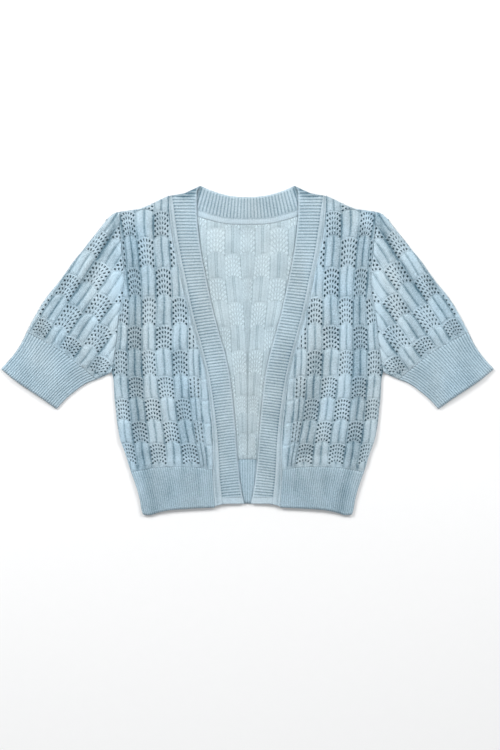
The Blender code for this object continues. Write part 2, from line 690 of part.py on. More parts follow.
def make_back_hem(name):
    """The rib welt under the back."""
    far = moved(HEM_SIDE[1:-1], -BACK_HEM_SIDE_GAP)
    half = BACK_HEM_TOP + far + BACK_HEM_BOTTOM[::-1]
    outline = anticlockwise(half[1:-1] + [half[-1]] + mirrored(half[1:-1]) + [half[0]])
    window = opening()
    lines = []
    for rib in range(-BACK_HEM_RIBS, BACK_HEM_RIBS):
        for part in RIB_ACROSS:
            out = (rib + part.place) * BACK_HEM_PITCH
            line = [(Vector((out, up)), INSIDE_RIDGE_RISE * part.rise) for up in BACK_HEM_RIB_HEIGHTS]
            lines += clipped(line, window, OPENING_RIB_MARGIN)
    lines += level_border(window, outline)
    make_panel(name, outline, lines, resting, HEM_WALL, 1.0, "rib")


def make_back_neck(name):
    """The band round the back neck, between the two shoulder folds."""
    half = NECK_EDGE[1:] + moved(BAND_FOLD[1:-1], up=-0.3) + NECK_SEAM[::-1][:-1]
    outline = anticlockwise([NECK_EDGE[0]] + half + [NECK_SEAM[0]] + mirrored(half))
    lines = []
    window = [band_edge(up) for up in NECK_OPENING_HEIGHTS] + NECK_OPENING_TOP
    window = window + mirrored(window)
    for rib in range(-NECK_RIBS, NECK_RIBS):
        for part in RIB_ACROSS:
            out = (rib + part.place) * NECK_PITCH
            share = abs(out) / NECK_EDGE[-1].x
            head = Vector((out, along(NECK_EDGE, share).y - NECK_RIB_DROP))
            foot = Vector((out * NECK_FAN, along(NECK_RIB_END, share * NECK_FOOT_SHARE).y))
            line = [(head.lerp(foot, step / 2.0), RIB_RISE * part.rise) for step in range(3)]
            runs = clipped(line, window, OPENING_RIB_MARGIN)
            lines += [run for run in runs if is_inside(run[0][0], outline, BORDER_INSET)]
    lines += level_border(window, outline)
    make_panel(name, outline, lines, resting, HEM_WALL, 1.0, "band")


def make_sleeve(name, side):
    """One sleeve, laid flat, with its blocks on the upper face."""
    armhole = moved(ARMHOLE[1:-1], SEAM_GAP)[::-1]
    ends = [CUFF_SEAM, UNDER_FOLD[-1:] + armhole + OUTER_FOLD[:1]]
    window = anticlockwise(OUTER_FOLD + CUFF_SEAM[1:] + UNDER_FOLD[1:] + armhole)

    def to_point(across, down):
        return SLEEVE_ORIGIN + SLEEVE_DOWN * down + SLEEVE_ACROSS * across

    lines = []
    for run in grid_blocks(SLEEVE_WALES, "down", SleeveRow._fields[1:], to_point, window, RIDGE_RISE, 1):
        lines += clipped(run, window, TUBE_BLOCK_MARGIN)
    make_tube(name, [OUTER_FOLD, UNDER_FOLD], ends, lines, sleeve_under, PANEL_WALL, side, "sleeve")


def make_cuff(name, side):
    """One ribbed cuff, laid flat."""
    seam = CUFF_OUTER[:1] + moved(CUFF_SEAM[1:-1], 0.16, -0.26) + CUFF_UNDER[:1]
    strip = Strip(seam, CUFF_END, CUFF_OUTER, CUFF_UNDER)
    window = anticlockwise(CUFF_OUTER + CUFF_END[1:] + CUFF_UNDER[::-1][1:] + seam[::-1][1:-1])
    lines = rib_lines(strip, CUFF_RIBS, CUFF_RIB_SPAN, window)
    make_tube(name, [CUFF_OUTER, CUFF_UNDER[::-1]], [CUFF_END, seam[::-1]], lines, sleeve_under,
              HEM_WALL, side, "rib")


def main():
    for thing in list(bpy.data.objects):
        bpy.data.objects.remove(thing)
    make_back_panel("back_panel")
    make_back_hem("back_hem")
    make_back_neck("back_neck_band")
    for label, side in (("left", 1.0), ("right", -1.0)):
        make_front_panel("front_panel_" + label, side)
        make_front_hem("front_hem_" + label, side)
        make_front_band("front_band_" + label, side)
        make_sleeve("sleeve_" + label, side)
        make_cuff("cuff_" + label, side)


main()
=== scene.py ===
"""The look of a short-sleeve open cardigan in fine lace and rib knit, laid flat and face up.

Sizes in the tables are millimetres: "out" is the distance from the centre line, "up" the distance above the
middle of the garment's height, and z rises from the surface it lies on. The wearer's left side is at +X.
Every visible piece is a thin knitted sheet on the form of its solid.
"""

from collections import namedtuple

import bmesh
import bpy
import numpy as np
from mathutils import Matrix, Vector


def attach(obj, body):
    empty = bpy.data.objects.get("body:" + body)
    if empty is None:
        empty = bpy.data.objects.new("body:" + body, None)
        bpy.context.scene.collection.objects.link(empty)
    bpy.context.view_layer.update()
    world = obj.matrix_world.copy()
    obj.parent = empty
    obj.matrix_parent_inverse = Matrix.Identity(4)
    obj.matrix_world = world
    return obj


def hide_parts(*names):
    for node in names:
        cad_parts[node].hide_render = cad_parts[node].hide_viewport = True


bl_info = {
    "name": "Lace and Rib Cardigan",
    "version": (1, 0, 0),
    "blender": (4, 5, 0),
    "location": "3D View > Sidebar > Cardigan",
    "description": "Knits the visible pieces of a short-sleeve open cardigan over its packed solids",
    "category": "Add Mesh",
}

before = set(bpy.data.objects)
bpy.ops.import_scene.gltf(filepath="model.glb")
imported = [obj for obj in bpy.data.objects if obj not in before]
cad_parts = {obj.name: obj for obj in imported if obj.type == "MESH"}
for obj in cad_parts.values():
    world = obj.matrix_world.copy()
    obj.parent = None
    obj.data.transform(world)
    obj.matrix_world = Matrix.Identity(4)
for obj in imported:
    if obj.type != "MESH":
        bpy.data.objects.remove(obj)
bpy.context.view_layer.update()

MM = 0.001
BODY = "root"

# Hairline between two pieces at their seam
JOIN = 0.06

# Walls of the solids that the sheets lie on
PANEL_WALL = 1.6
HEM_WALL = 1.8
BAND_WALL = 1.9
FRONT_FLOOR = 2.2
FRONT_PUFF = 3.4
SLEEVE_FLOOR = 1.9
SLEEVE_PUFF = 4.2
PUFF_REACH = 30.0
FREE_EDGE_PUFF = 0.12
FREE_EDGE_TOP = 232.0
PUFF_AT_ARMHOLE = 0.55
PUFF_AT_HEM = 0.3
SLEEVE_PUFF_AT_ARMHOLE = 0.45
SLEEVE_PUFF_AT_END = 0.45

# Knit: cells of the sheet in one block, and the eyelets of a lace block
CELLS_ACROSS = 18
CELLS_DOWN = 30
EYELET_CELLS = 3.0
ARC_CELLS = 6
FIRST_HOLE = 1
HOLE_CELLS = 4
ARCH_AT_TOP = 0.55
# Painted shade: dark lines along the ribs of the back's inside, by cell across a block
REVERSE_LINES = {0: 0.4, 4: 0.1, 8: 0.34, 10: 0.34, 14: 0.1}
SPARED_RIM = 2.2
SPARED_FOLD = 4.5
WALES_PER_BLOCK = 12.0
RIB_CELLS = 5
COURSE = 1.4

# Eyelets, in cells: how far to each side they draw stitches and are cut, and how their width varies
EYELET_REACH = 1.1
HOLE_REACH = 0.9
EYELET_END = -0.28
LESS_IF_SPACED = 0.35
EYELET_CHANCE = 0.08
EYELET_FAN = 1.3
BLOCK_SEED = 7
STITCH_SEED = 11

# Widths of the columns beyond each end of a table
FRONT_BEYOND = (24.0, 22.0)
SLEEVE_BEYOND = (26.0, 27.0)

# The share of the relief that is left at a welt's seam
SETTLED = 0.35

# Ribs of the bands, hems and cuffs
BAND_TOP = 228.0
BAND_BOTTOM = -226.0
BAND_PITCH_TOP = 4.8
BAND_PITCH_BOTTOM = 4.0
HEM_RIBS = 36
BACK_HEM_RIBS = 90
CUFF_RIBS = 29
BAND_RIBS = (-3.0, 109.0)
BAND_RIB_WIDTH = 30.0
BAND_FOOT_TOP = -221.0
BAND_SIDE_SPOTS = 90
ROLL_WALES = 3.0
NECK_PITCH = 4.5
NECK_FAN = 1.2
NECK_RIBS = 15.67
NECK_ROWS = 24
NECK_SIDE_CELLS = 10
NECK_DEPTH = 42.0
HEM_ROWS = 18
HEM_DEPTH = 62.0
BACK_HEM_ROWS = 12
BACK_HEM_CELLS = 4
CUFF_ROWS = 18
CUFF_DEPTH = 72.0
FRONT_SEAM_TOP = 215.0
HEM_SEAM_FOOT = -230.0

# Centre and width of each hump: across the band, down the neck band and welts, and away from seams
BAND_ROLL = (0.78, 0.12)
BAND_DIP = (0.3, 0.2)
BAND_DIP_SHADE = (0.3, 0.22)
BAND_LINKS = (1.01, 0.04)
BAND_RIB_START_SHADE = (0.97, 0.05)
BAND_SELVEDGE = (1.965, 0.025)
BAND_SEAM_LIGHT = (0.06, 0.06)
NECK_GROOVE = (0.79, 0.03)
NECK_ROLL = (0.9, 0.05)
WELT_EDGE = (0.97, 0.02)
FRONT_SEAM_RIDGE = (2.6, 1.3)
ARMHOLE_RIDGE = (4.0, 2.2)

# How far the painted shade reaches from the folds at the shoulder and from the armhole
PEAK_REACH = 9.0
SHOULDER_FOLD_REACH = 8.0
ARMHOLE_SHADE_REACH = 14.0

# The sheets of the back and of the flattened tubes
BACK_SHEET = 0.0015
BACK_TOP = 1.65
BACK_SHOWN = 80.0
BACK_REACH = 206.0
BACK_SPAN = (-184.0, 236.0)
BACK_LAP = 4.0
NARROW_CENTRE_ROW = 4
PLAIN_CELL = 6.0
TUBE_CELL = 3.0
FOLD_HEIGHT = 1.8
FOLD_WIDTH = 3.4
LOWER_HEIGHT = 0.05

# The yarn's slow drift of colour, as shares of its red, green and blue
BLUER = (0.945, 1.0, 1.04)
GREYER = (1.055, 1.0, 0.96)
PATCH_STRETCH = (1.0, 0.45, 1.0)

# The yarn's pale sheen, and the range of the painted shade and highlight that a sheet stores at its vertices
SHEEN_TINT = (0.85, 0.93, 1.0, 1.0)
SHADE_RANGE = (-0.4, 1.0)

# The photo's frame, in metres, and the camera's sensor, in millimetres
FRAME_HEIGHT = 1.125
FRAME_CENTRE = (0.00375, -0.03675)
SENSOR_WIDTH = 36.0
ROOM_COLOUR = (0.97, 0.985, 1.0, 1.0)

# Each light's name, place, size, and its power as a share of the key's setting
STAGE_LIGHTS = (
    ("key", (-1.4, 1.3, 1.4), 0.8, 1.15),
    ("fill", (1.4, 1.2, 1.4), 0.8, 0.75),
    ("foot", (0.0, -1.9, 1.9), 1.2, 0.3),
)

Share = namedtuple("Share", "place rise")
Rim = namedtuple("Rim", "width drop")
Finish = namedtuple("Finish", "colour depth grain line drift")
Fold = namedtuple("Fold", "path half_width depth")
BandRow = namedtuple("BandRow", "up free_edge rib_start seam tilt")
WaleRow = namedtuple("WaleRow", "up first second third fourth fifth sixth seventh")
BackRow = namedtuple("BackRow", "up outer middle inner")
SleeveRow = namedtuple("SleeveRow", "down first second third fourth fifth sixth")
Strip = namedtuple("Strip", "top bottom near far")
Cut = namedtuple("Cut", "flat area")

# How wide an edge rounds, and how far down
SEAM_RIM = Rim(1.6, 0.4)
ARMHOLE_RIM = Rim(1.6, 0.3)
OUTER_RIM = Rim(4.0, 1.0)
FREE_RIM = Rim(1.6, 0.7)
BAND_FOLD_RIM = Rim(3.0, 1.2)
NECK_RIM = Rim(1.8, 0.7)
HEM_RIM = Rim(2.0, 0.8)
BACK_HEM_RIM = Rim(2.0, 0.6)
CUFF_RIM = Rim(2.0, 0.7)


def spots(*pairs):
    """Points from pairs of out and up."""
    return np.array(pairs, dtype=float)


# Outlines of the right-hand half, each pair out and up
SHOULDER = spots(
    (116.2, 231.8), (131.2, 225.8), (146.2, 218.2), (161.2, 212.2), (176.2, 210), (191.2, 207.8))
ARMHOLE = spots(
    (191.2, 207.8), (191, 188), (189.8, 165.8), (186.8, 135.8), (184.5, 113.2), (185.8, 95.2),
    (187.5, 75.8), (191.2, 60.8), (193.5, 45.8), (194.6, 30.8), (195.8, 15.8), (198, 0.8),
    (200.2, -14.2), (203.2, -32.2))
SIDE = spots(
    (203.2, -32.2), (200.7, -44.2), (199.9, -59), (199, -74.2), (197.2, -89.2), (195.8, -104.2),
    (193.5, -119.2), (190.5, -134.2), (184.8, -149.2), (180, -164.2), (174.5, -182.2))
HEM_LINE = spots(
    (174.5, -182.2), (153.8, -177.8), (131.2, -174.8), (101.2, -174), (71.2, -175.5), (52, -179))
HEM_SIDE = spots(
    (174.5, -182.2), (170, -194.2), (165, -209.2), (161.2, -224.2), (159, -238), (156.8, -245.6))
HEM_BOTTOM = spots(
    (156.8, -245.6), (146.2, -246.8), (131.2, -242.2), (116.2, -239.2), (86.2, -237), (48.8, -235.2))
OUTER_FOLD = spots(
    (191.6, 207.8), (198, 206.6), (206.2, 200.7), (216.8, 188.2), (226.2, 176.2), (236.2, 164.2),
    (246.3, 150.8), (258.8, 135.8), (271.2, 118.2), (283, 101.8), (293.7, 89.2), (303.8, 75.8),
    (311.8, 63), (321.3, 45.8), (330.8, 27.8))
CUFF_SEAM = spots(
    (330.8, 27.8), (316.8, 20.6), (303.8, 13.6), (284.2, 3), (266.2, -9.8), (248.2, -24.8), (226, -43))
UNDER_FOLD = spots((226, -43), (214.5, -38), (203.6, -32.9))
CUFF_OUTER = spots((331, 27.5), (336.3, 15.8), (345, 0.8), (356.2, -13.6), (369.3, -27.8))
CUFF_END = spots((369.3, -27.8), (352, -42), (333.8, -54.8), (308.7, -71.4), (286.2, -87.8))
CUFF_UNDER = spots((226.2, -43.3), (239, -48), (251.2, -55.5), (271.2, -71.7), (286.2, -87.8))

# The shoulder fold of the band, from the neck peak outwards, and the back neck
BAND_FOLD = spots((70.5, 246.8), (78.8, 242.6), (86.2, 239.2), (93.8, 235.6), (104, 233.6), (115.9, 231.9))
NECK_EDGE = spots((0, 230.2), (11.2, 230.3), (26.2, 231.8), (41.2, 235.4), (56.2, 240.6), (70.5, 246.8))
NECK_SEAM = spots(
    (0, 188.6), (26.2, 189.1), (41.2, 191.2), (56.2, 195), (74.2, 200.6), (95, 211), (115.9, 231.9))

# The back hem, hidden at its sides under the front hems
BACK_HEM_TOP = spots((0, -162.8), (40, -163.6), (80, -168), (130, -175.4), (174.5, -182.2))
BACK_HEM_BOTTOM = spots(
    (0, -229.6), (30, -229.8), (48, -232), (86, -235), (116, -237.4), (131, -240.4),
    (146.2, -245), (156.4, -244.8))

# Painted shade of the small folds of the band and the neck at the shoulder's peak
PEAK_FOLD = spots((74, 244), (84, 238), (96, 234))
NECK_PEAK = spots((71, 247), (74.5, 236))

# Painted shade along the fold in the sleeve below the shoulder point
SHOULDER_FOLD = spots((196, 200), (207, 172), (218, 144))

# Corners of the back panel at its neck, and of the front band at the neck and at the hem
NECK_CORNER = spots((116.2, 231.2))
BAND_PEAK = spots((75.6, 239))
BAND_FOOT = spots((5.2, -229.2), (36.6, -229.6), (48.5, -233.4))

# The front band, from its shoulder fold down to the hem
BAND_ROWS = [
    BandRow(250, 68, 113, 117.2, 0),
    BandRow(240, 75, 113, 117.2, 0),
    BandRow(232, 75.8, 113, 117.2, 0),
    BandRow(210.8, 75.8, 109.6, 117, 0),
    BandRow(195.8, 75.3, 107.6, 115.8, 0),
    BandRow(165.8, 72, 103.4, 111.5, 0.4),
    BandRow(135.8, 67.6, 98.2, 105.3, 1.2),
    BandRow(105.8, 61.6, 91.6, 98.9, 2.4),
    BandRow(75.8, 55.6, 85.4, 92.2, 4),
    BandRow(45.8, 48.6, 78.6, 84.6, 4.4),
    BandRow(15.8, 40.4, 70.4, 75.8, 4.4),
    BandRow(-14.2, 31.8, 62.2, 67.6, 3.8),
    BandRow(-44.2, 25.9, 55.6, 61, 3.8),
    BandRow(-74.2, 22.4, 50.8, 57.2, 3.8),
    BandRow(-104.2, 19.4, 46.8, 54.1, 3.8),
    BandRow(-134.2, 17.2, 43.9, 52.2, 3.8),
    BandRow(-164.2, 15, 42.2, 51.7, 3.8),
    BandRow(-194.2, 11.8, 40.6, 51.2, 3.8),
    BandRow(-215, 8.4, 38.2, 50, 2.6),
    BandRow(-229.4, 5.2, 36.6, 48.5, 1.6),
    BandRow(-236, 5, 36.6, 48.5, 1.6),
]

# Edges between the front's columns of blocks at each change of row, from the band outwards
FRONT_WALES = [
    WaleRow(236, 72, 94, 118.5, 140.5, 167, 190.5, 212),
    WaleRow(204.8, 72, 94, 117.8, 140.2, 169, 191, 212),
    WaleRow(164.2, 72, 93.5, 117, 140.2, 165.5, 184.5, 205),
    WaleRow(119.2, 72, 92, 114.8, 138, 161.2, 180.5, 201),
    WaleRow(75, 72, 90.8, 113.2, 136.5, 158.2, 177, 198.5),
    WaleRow(33, 72, 89.2, 112.5, 137.2, 158.2, 179.2, 199.5),
    WaleRow(-3.8, 72, 89.2, 112.5, 138, 159, 180, 201.5),
    WaleRow(-42.8, 71, 88.5, 111, 135, 156.8, 178.5, 201),
    WaleRow(-75.8, 70, 86.2, 108, 131.2, 154.5, 177, 198.5),
    WaleRow(-109.5, 67, 81.8, 104.2, 127.5, 151.5, 174, 196),
    WaleRow(-142.5, 63.5, 76.5, 99.8, 123, 147, 169.5, 191),
    WaleRow(-173.2, 60, 71.2, 96.8, 120, 143.2, 165, 186),
    WaleRow(-206, 60, 71.2, 96.8, 120, 143.2, 165, 186),
]

# The same for the inside of the back, which shows in the opening, from the side towards the centre
BACK_WALES = [
    BackRow(219.2, 60.8, 33.8, 11.2),
    BackRow(179.2, 60.8, 33.8, 11.2),
    BackRow(140.2, 60.8, 33.8, 11.2),
    BackRow(104.2, 57.8, 33, 8.2),
    BackRow(68.2, 54.8, 29.2, 6),
    BackRow(30.8, 45.8, 25.5, 3.8),
    BackRow(-3.8, 44.2, 24, 2.2),
    BackRow(-39.8, 39.8, 20.2, 1.2),
    BackRow(-71, 36, 17.2, 0.8),
    BackRow(-99.5, 33, 15, 0.5),
    BackRow(-128, 30, 13.5, 0.4),
    BackRow(-164, 29, 13, 0.4),
    BackRow(-190, 29, 13, 0.4),
]

# The sleeve's columns, measured down the sleeve from the shoulder point and across from its outer fold
SLEEVE_ORIGIN = np.array((192.3, 208.2))
SLEEVE_DOWN = np.array((0.5457, -0.8380))
SLEEVE_ACROSS = np.array((-0.8380, -0.5457))
SLEEVE_WALES = [
    SleeveRow(-35, -14, 11, 40, 69, 97, 125),
    SleeveRow(4, -14, 11, 40, 69, 97, 125),
    SleeveRow(43, -14, 11, 40, 69, 97, 125),
    SleeveRow(82, -14, 11, 40, 68.5, 96, 123),
    SleeveRow(121, -14, 11, 39.5, 68, 95, 122),
    SleeveRow(159, -14, 11, 38.5, 66, 92.5, 119),
    SleeveRow(199, -12.5, 11, 37, 64, 90.5, 116),
    SleeveRow(228, -12, 11, 36.5, 63, 90, 115),
    SleeveRow(266, -12, 11, 36.5, 63, 90, 115),
]

# Two rounded ridges to a rib block, and where they rise along it
RIDGE_ACROSS = [
    Share(0.02, 0.0), Share(0.17, 1.0), Share(0.35, 1.0), Share(0.50, 0.0),
    Share(0.65, 1.0), Share(0.83, 1.0), Share(0.98, 0.0)]
RIDGE_ALONG = [Share(0.0, 0.0), Share(0.12, 1.0), Share(0.9, 1.0), Share(1.0, 0.15)]
LACE_ACROSS = [Share(0.0, 0.0), Share(0.08, 1.0), Share(0.92, 1.0), Share(1.0, 0.0)]

# Across the front band: 0 at its seam, 1 where its ribs start and 2 at its free edge
BAND_ACROSS = (
    0.0, 0.1, 0.2, 0.3, 0.4, 0.5, 0.6, 0.7, 0.8, 0.88, 0.94, 1.0, 1.03, 1.07, 1.13, 1.22, 1.35, 1.5, 1.65,
    1.8, 1.9, 1.96, 2.0)

# The largest folds: soft troughs in the front layer and the sleeves
FRONT_FOLDS = [
    Fold(spots((176, 175), (169, 75.8), (165.8, -29.2), (167.2, -104.2), (157, -164.2),
               (146, -240)), 12, 0.85),
    Fold(spots((104, -10), (99, -80), (92, -150)), 9, 0.55),
    Fold(spots((136, 205), (133, 110), (130, 20)), 8, 0.45),
    Fold(spots((84, -60), (72, -160), (70, -215)), 7, 0.4),
]
SLEEVE_FOLDS = [
    Fold(spots((195, 190), (231, 126), (262, 70)), 9, 0.8),
    Fold(spots((236, 60), (252, 20), (262, -6)), 9, 0.5),
    Fold(spots((272, 108), (293, 62), (310, 22)), 8, 0.6),
    Fold(spots((206, 60), (214, 10), (226, -32)), 8, 0.5),
]

# Smaller creases and ridges; a depth above 0 is a ridge, in millimetres
FRONT_CREASES = [
    Fold(spots((182, 190), (178.5, 120), (180, 70), (186, 10)), 5, 0.7),
    Fold(spots((60, -160), (64, -174)), 4, -0.5),
    Fold(spots((84, -152), (86, -172)), 4.5, -0.6),
    Fold(spots((109, -148), (110, -171)), 4, -0.6),
    Fold(spots((133, -150), (132, -173)), 5, -0.5),
    Fold(spots((160, -158), (163, -178)), 4, -0.5),
    Fold(spots((73, -166), (98, -164), (121, -164.5), (146, -167), (170, -172)), 6, 0.6),
    Fold(spots((120, 222), (118, 196)), 5, -0.5),
    Fold(spots((152, 209), (150, 188)), 6, -0.4),
    Fold(spots((148, 60), (143, -20), (146, -90)), 9, 0.8),
    Fold(spots((119, -60), (112, -120)), 8, 0.6),
    Fold(spots((88, 20), (82, -50)), 8, 0.5),
    Fold(spots((190, -60), (184, -130)), 6, 0.7),
]
SLEEVE_CREASES = [
    Fold(spots((199, 118), (197, 60), (204, 10), (212, -26)), 7, 1.3),
    Fold(spots((214, 120), (226, 66), (240, 8)), 8, 0.7),
    Fold(spots((200, 196), (222, 158), (252, 112)), 5, 0.8),
    Fold(spots((196, 150), (206, 120)), 5, -0.6),
    Fold(spots((310, 30), (318, 22)), 3.5, -0.6),
    Fold(spots((294, 24), (301, 13)), 3.5, -0.7),
    Fold(spots((277, 16), (286, 4)), 4, -0.6),
    Fold(spots((262, 4), (270, -7)), 3.5, -0.7),
    Fold(spots((248, -8), (256, -18)), 4, -0.6),
    Fold(spots((234, -18), (242, -29)), 3.5, -0.5),
]
BAND_CREASES = [
    Fold(spots((104.3, 230), (92, 229), (82, 230.5)), 1.4, -0.9),
    Fold(spots((92.3, 234), (84, 233.6), (76.5, 234.5)), 1.3, -0.9),
    Fold(spots((84, 238.2), (77, 239.5)), 1.1, -0.8),
]
HEM_CREASES = [
    Fold(spots((152, -180), (146, -210), (140, -240)), 6, -0.9),
    Fold(spots((166, -182), (160, -212)), 4, 0.5),
    Fold(spots((118, -176), (116, -212)), 5, -0.5),
    Fold(spots((96, -176), (98, -196)), 4, -0.4),
    Fold(spots((76, -178), (72, -216)), 4, -0.5),
]
CUFF_CREASES = [
    Fold(spots((316, 20), (330, -4)), 4, -0.5),
    Fold(spots((284, 3), (304, -28)), 5, -0.5),
    Fold(spots((250, -24), (268, -46)), 4, -0.5),
]

# Options that the colours and the lengths share
COLOUR = dict(subtype="COLOR", size=3, min=0.0, max=1.0)
LENGTH = dict(unit="LENGTH", subtype="DISTANCE", precision=4)


class YarnSettings(bpy.types.PropertyGroup):
    """Colours and surface of the yarn"""
    lace_colour: bpy.props.FloatVectorProperty(
        name="Lace Knit", description="Colour of the fronts and sleeves", **COLOUR,
        default=(0.575, 0.735, 0.835))
    welt_colour: bpy.props.FloatVectorProperty(
        name="Welts", description="Colour of the hem and the cuffs", **COLOUR,
        default=(0.54, 0.685, 0.775))
    band_colour: bpy.props.FloatVectorProperty(
        name="Band", description="Colour of the front band and the back neck", **COLOUR,
        default=(0.56, 0.68, 0.75))
    inside_colour: bpy.props.FloatVectorProperty(
        name="Inside", description="Colour of the inside of the back", **COLOUR,
        default=(0.755, 0.895, 0.955))
    # Painted shade: the dark end of the yarn's colour, toward which shade, stitch hollows and wale lines mix
    # it, along with the random heather
    groove_colour: bpy.props.FloatVectorProperty(
        name="Grooves", description="Deeper colour in grooves and folds", **COLOUR,
        default=(0.04, 0.12, 0.17))
    # Painted shade: a dark yarn on the hidden inner sides and the rims, so that the eyelets look deep
    shaded_colour: bpy.props.FloatVectorProperty(
        name="Shaded Yarn", description="Colour of the hidden sides and of the edges of eyelets",
        **COLOUR, default=(0.17, 0.30, 0.38))
    stitch_depth: bpy.props.FloatProperty(
        name="Stitch Depth", description="Height of one knit stitch over its edges",
        min=0.0, max=0.002, default=0.0007, **LENGTH)


class KnitSettings(bpy.types.PropertyGroup):
    """Relief of the knit"""
    sheet: bpy.props.FloatProperty(
        name="Sheet", description="Thickness of the knit", min=0.0004, max=0.002, default=0.0011, **LENGTH)
    ridge: bpy.props.FloatProperty(
        name="Ridge", description="Rise of the ridges in rib blocks",
        min=0.0, max=0.003, default=0.0015, **LENGTH)
    inside_ridge: bpy.props.FloatProperty(
        name="Inside Ridge", description="Rise of the ridges on the inside of the back",
        min=0.0, max=0.002, default=0.0006, **LENGTH)
    rib: bpy.props.FloatProperty(
        name="Rib", description="Rise of the ribs in bands, hems and cuffs",
        min=0.0, max=0.002, default=0.0010, **LENGTH)
    roll: bpy.props.FloatProperty(
        name="Roll", description="Rise of the rolled edge along the band's seam",
        min=0.0, max=0.002, default=0.0010, **LENGTH)
    arch: bpy.props.FloatProperty(
        name="Arch", description="Height of a lace arc as a share of its block",
        min=0.0, max=0.3, default=0.2, subtype="FACTOR")
    eyelet: bpy.props.FloatProperty(
        name="Side Eyelets", description="Share of a cell that eyelets at a block's sides open each way",
        min=-0.4, max=0.8, default=0.32, subtype="FACTOR")
    middle_eyelet: bpy.props.FloatProperty(
        name="Middle Eyelets", description="The same at a block's middle, less than 0 to close them",
        min=-0.4, max=0.8, default=-0.1, subtype="FACTOR")


class StageSettings(bpy.types.PropertyGroup):
    """Floor, light and camera"""
    floor_colour: bpy.props.FloatVectorProperty(
        name="Floor", description="Colour of the floor", **COLOUR,
        default=(0.9, 0.9, 0.9))
    key_power: bpy.props.FloatProperty(
        name="Key", description="Power of the large light", min=0.0, max=500.0, default=38.0)
    even_light: bpy.props.FloatProperty(
        name="Even Light", description="Strength of the light from all round", min=0.0, max=5.0, default=0.36)
    camera_height: bpy.props.FloatProperty(
        name="Camera Height", description="Distance of the camera above the floor",
        min=0.5, max=10.0, default=2.5, **LENGTH)


def ease(value):
    """0 at 0, 1 at 1, with level ends."""
    value = np.clip(value, 0.0, 1.0)
    return value * value * (3.0 - 2.0 * value)


def bell(value, centre, width):
    """A smooth hump, 1 at its centre."""
    return np.exp(-((value - centre) / width) ** 2)


def mirrored(points):
    """The same points on the other side of the centre line, in reverse order."""
    return points[::-1] * (-1.0, 1.0)


def moved(points, out=0.0, up=0.0):
    """The points shifted."""
    return points + (out, up)


def smooth(keys, values, at):
    """A smooth curve through a table's values, read at many places."""
    at = np.clip(at, keys[0], keys[-1])
    index = np.clip(np.searchsorted(keys, at, side="right") - 1, 0, len(keys) - 2)
    before, after = np.maximum(index - 1, 0), np.minimum(index + 2, len(keys) - 1)
    span = keys[index + 1] - keys[index]
    slope_in = (values[index + 1] - values[before]) / (keys[index + 1] - keys[before]) * span
    slope_out = (values[after] - values[index]) / (keys[after] - keys[index]) * span
    share = (at - keys[index]) / span
    rise = values[index + 1] - values[index]
    return (values[index] + slope_in * share + (3.0 * rise - 2.0 * slope_in - slope_out) * share ** 2
            + (slope_in + slope_out - 2.0 * rise) * share ** 3)


def column(rows, key, name, at):
    """A table's column at places between its rows, on a smooth curve."""
    rows = sorted(rows, key=lambda row: getattr(row, key))
    keys = np.array([getattr(row, key) for row in rows])
    values = np.array([getattr(row, name) for row in rows])
    return smooth(keys, values, at)


def marks_of(path):
    """Distances along a path at its points."""
    return np.concatenate(([0.0], np.cumsum(np.linalg.norm(np.diff(path, axis=0), axis=1))))


def along(path, share):
    """Points at shares of a path's length."""
    marks = marks_of(path)
    at = np.asarray(share) * marks[-1]
    return np.stack([np.interp(at, marks, path[:, axis]) for axis in (0, 1)], axis=-1)


def rounded(path, pitch=6.0):
    """A path redrawn as a smooth curve through its points."""
    marks = marks_of(path)
    at = np.linspace(0.0, marks[-1], max(int(round(marks[-1] / pitch)), 1) + 1)
    return np.stack([smooth(marks, path[:, axis], at) for axis in (0, 1)], axis=-1)


def outline_of(*paths):
    """A closed outline from paths that run head to tail, without doubled corners."""
    points = np.concatenate(paths)
    steps = np.linalg.norm(points - np.roll(points, 1, axis=0), axis=1)
    return points[steps > 0.05]


def distances(points, path):
    """The distance from each point to a path."""
    best = np.full(len(points), 1e9)
    for start, end in zip(path, path[1:]):
        run = end - start
        share = np.clip((points - start) @ run / max(run @ run, 1e-9), 0.0, 1.0)
        best = np.minimum(best, np.linalg.norm(points - start - share[:, None] * run, axis=1))
    return best


def inside(points, outline):
    """Which points lie inside an outline."""
    odd = np.zeros(len(points), dtype=bool)
    for a, b in zip(outline, np.roll(outline, -1, axis=0)):
        if a[1] != b[1]:
            spans = (a[1] > points[:, 1]) != (b[1] > points[:, 1])
            odd ^= spans & (points[:, 0] < a[0] + (b[0] - a[0]) * (points[:, 1] - a[1]) / (b[1] - a[1]))
    return odd


def closed(outline):
    """An outline with its first point again at its end."""
    return np.concatenate((outline, outline[:1]))


def nearness(points, path, reach):
    """1 on a path, and 0 from the reach away."""
    return 1.0 - ease(distances(points, path) / reach)


def kept(points, path, reach, least=0.0):
    """What is kept near a path: the least on it, all of it from the reach away."""
    return least + (1.0 - least) * ease(distances(points, path) / reach)


def fold_factor(points, folds):
    """What the troughs leave of the puff at each point."""
    factor = np.ones(len(points))
    for fold in folds:
        factor *= 1.0 - fold.depth * nearness(points, fold.path, 2.0 * fold.half_width)
    return factor


def creased(points, creases):
    """The rise of the smaller creases and ridges at each point."""
    rise = np.zeros(len(points))
    for crease in creases:
        rise += crease.depth * nearness(points, crease.path, 2.0 * crease.half_width)
    return rise


FRONT_RIM = (SHOULDER, np.concatenate((SIDE, HEM_SIDE)))
SLEEVE_EDGES = np.concatenate((OUTER_FOLD, CUFF_OUTER))
SLEEVE_UNDER_EDGES = np.concatenate((UNDER_FOLD[::-1], CUFF_UNDER))


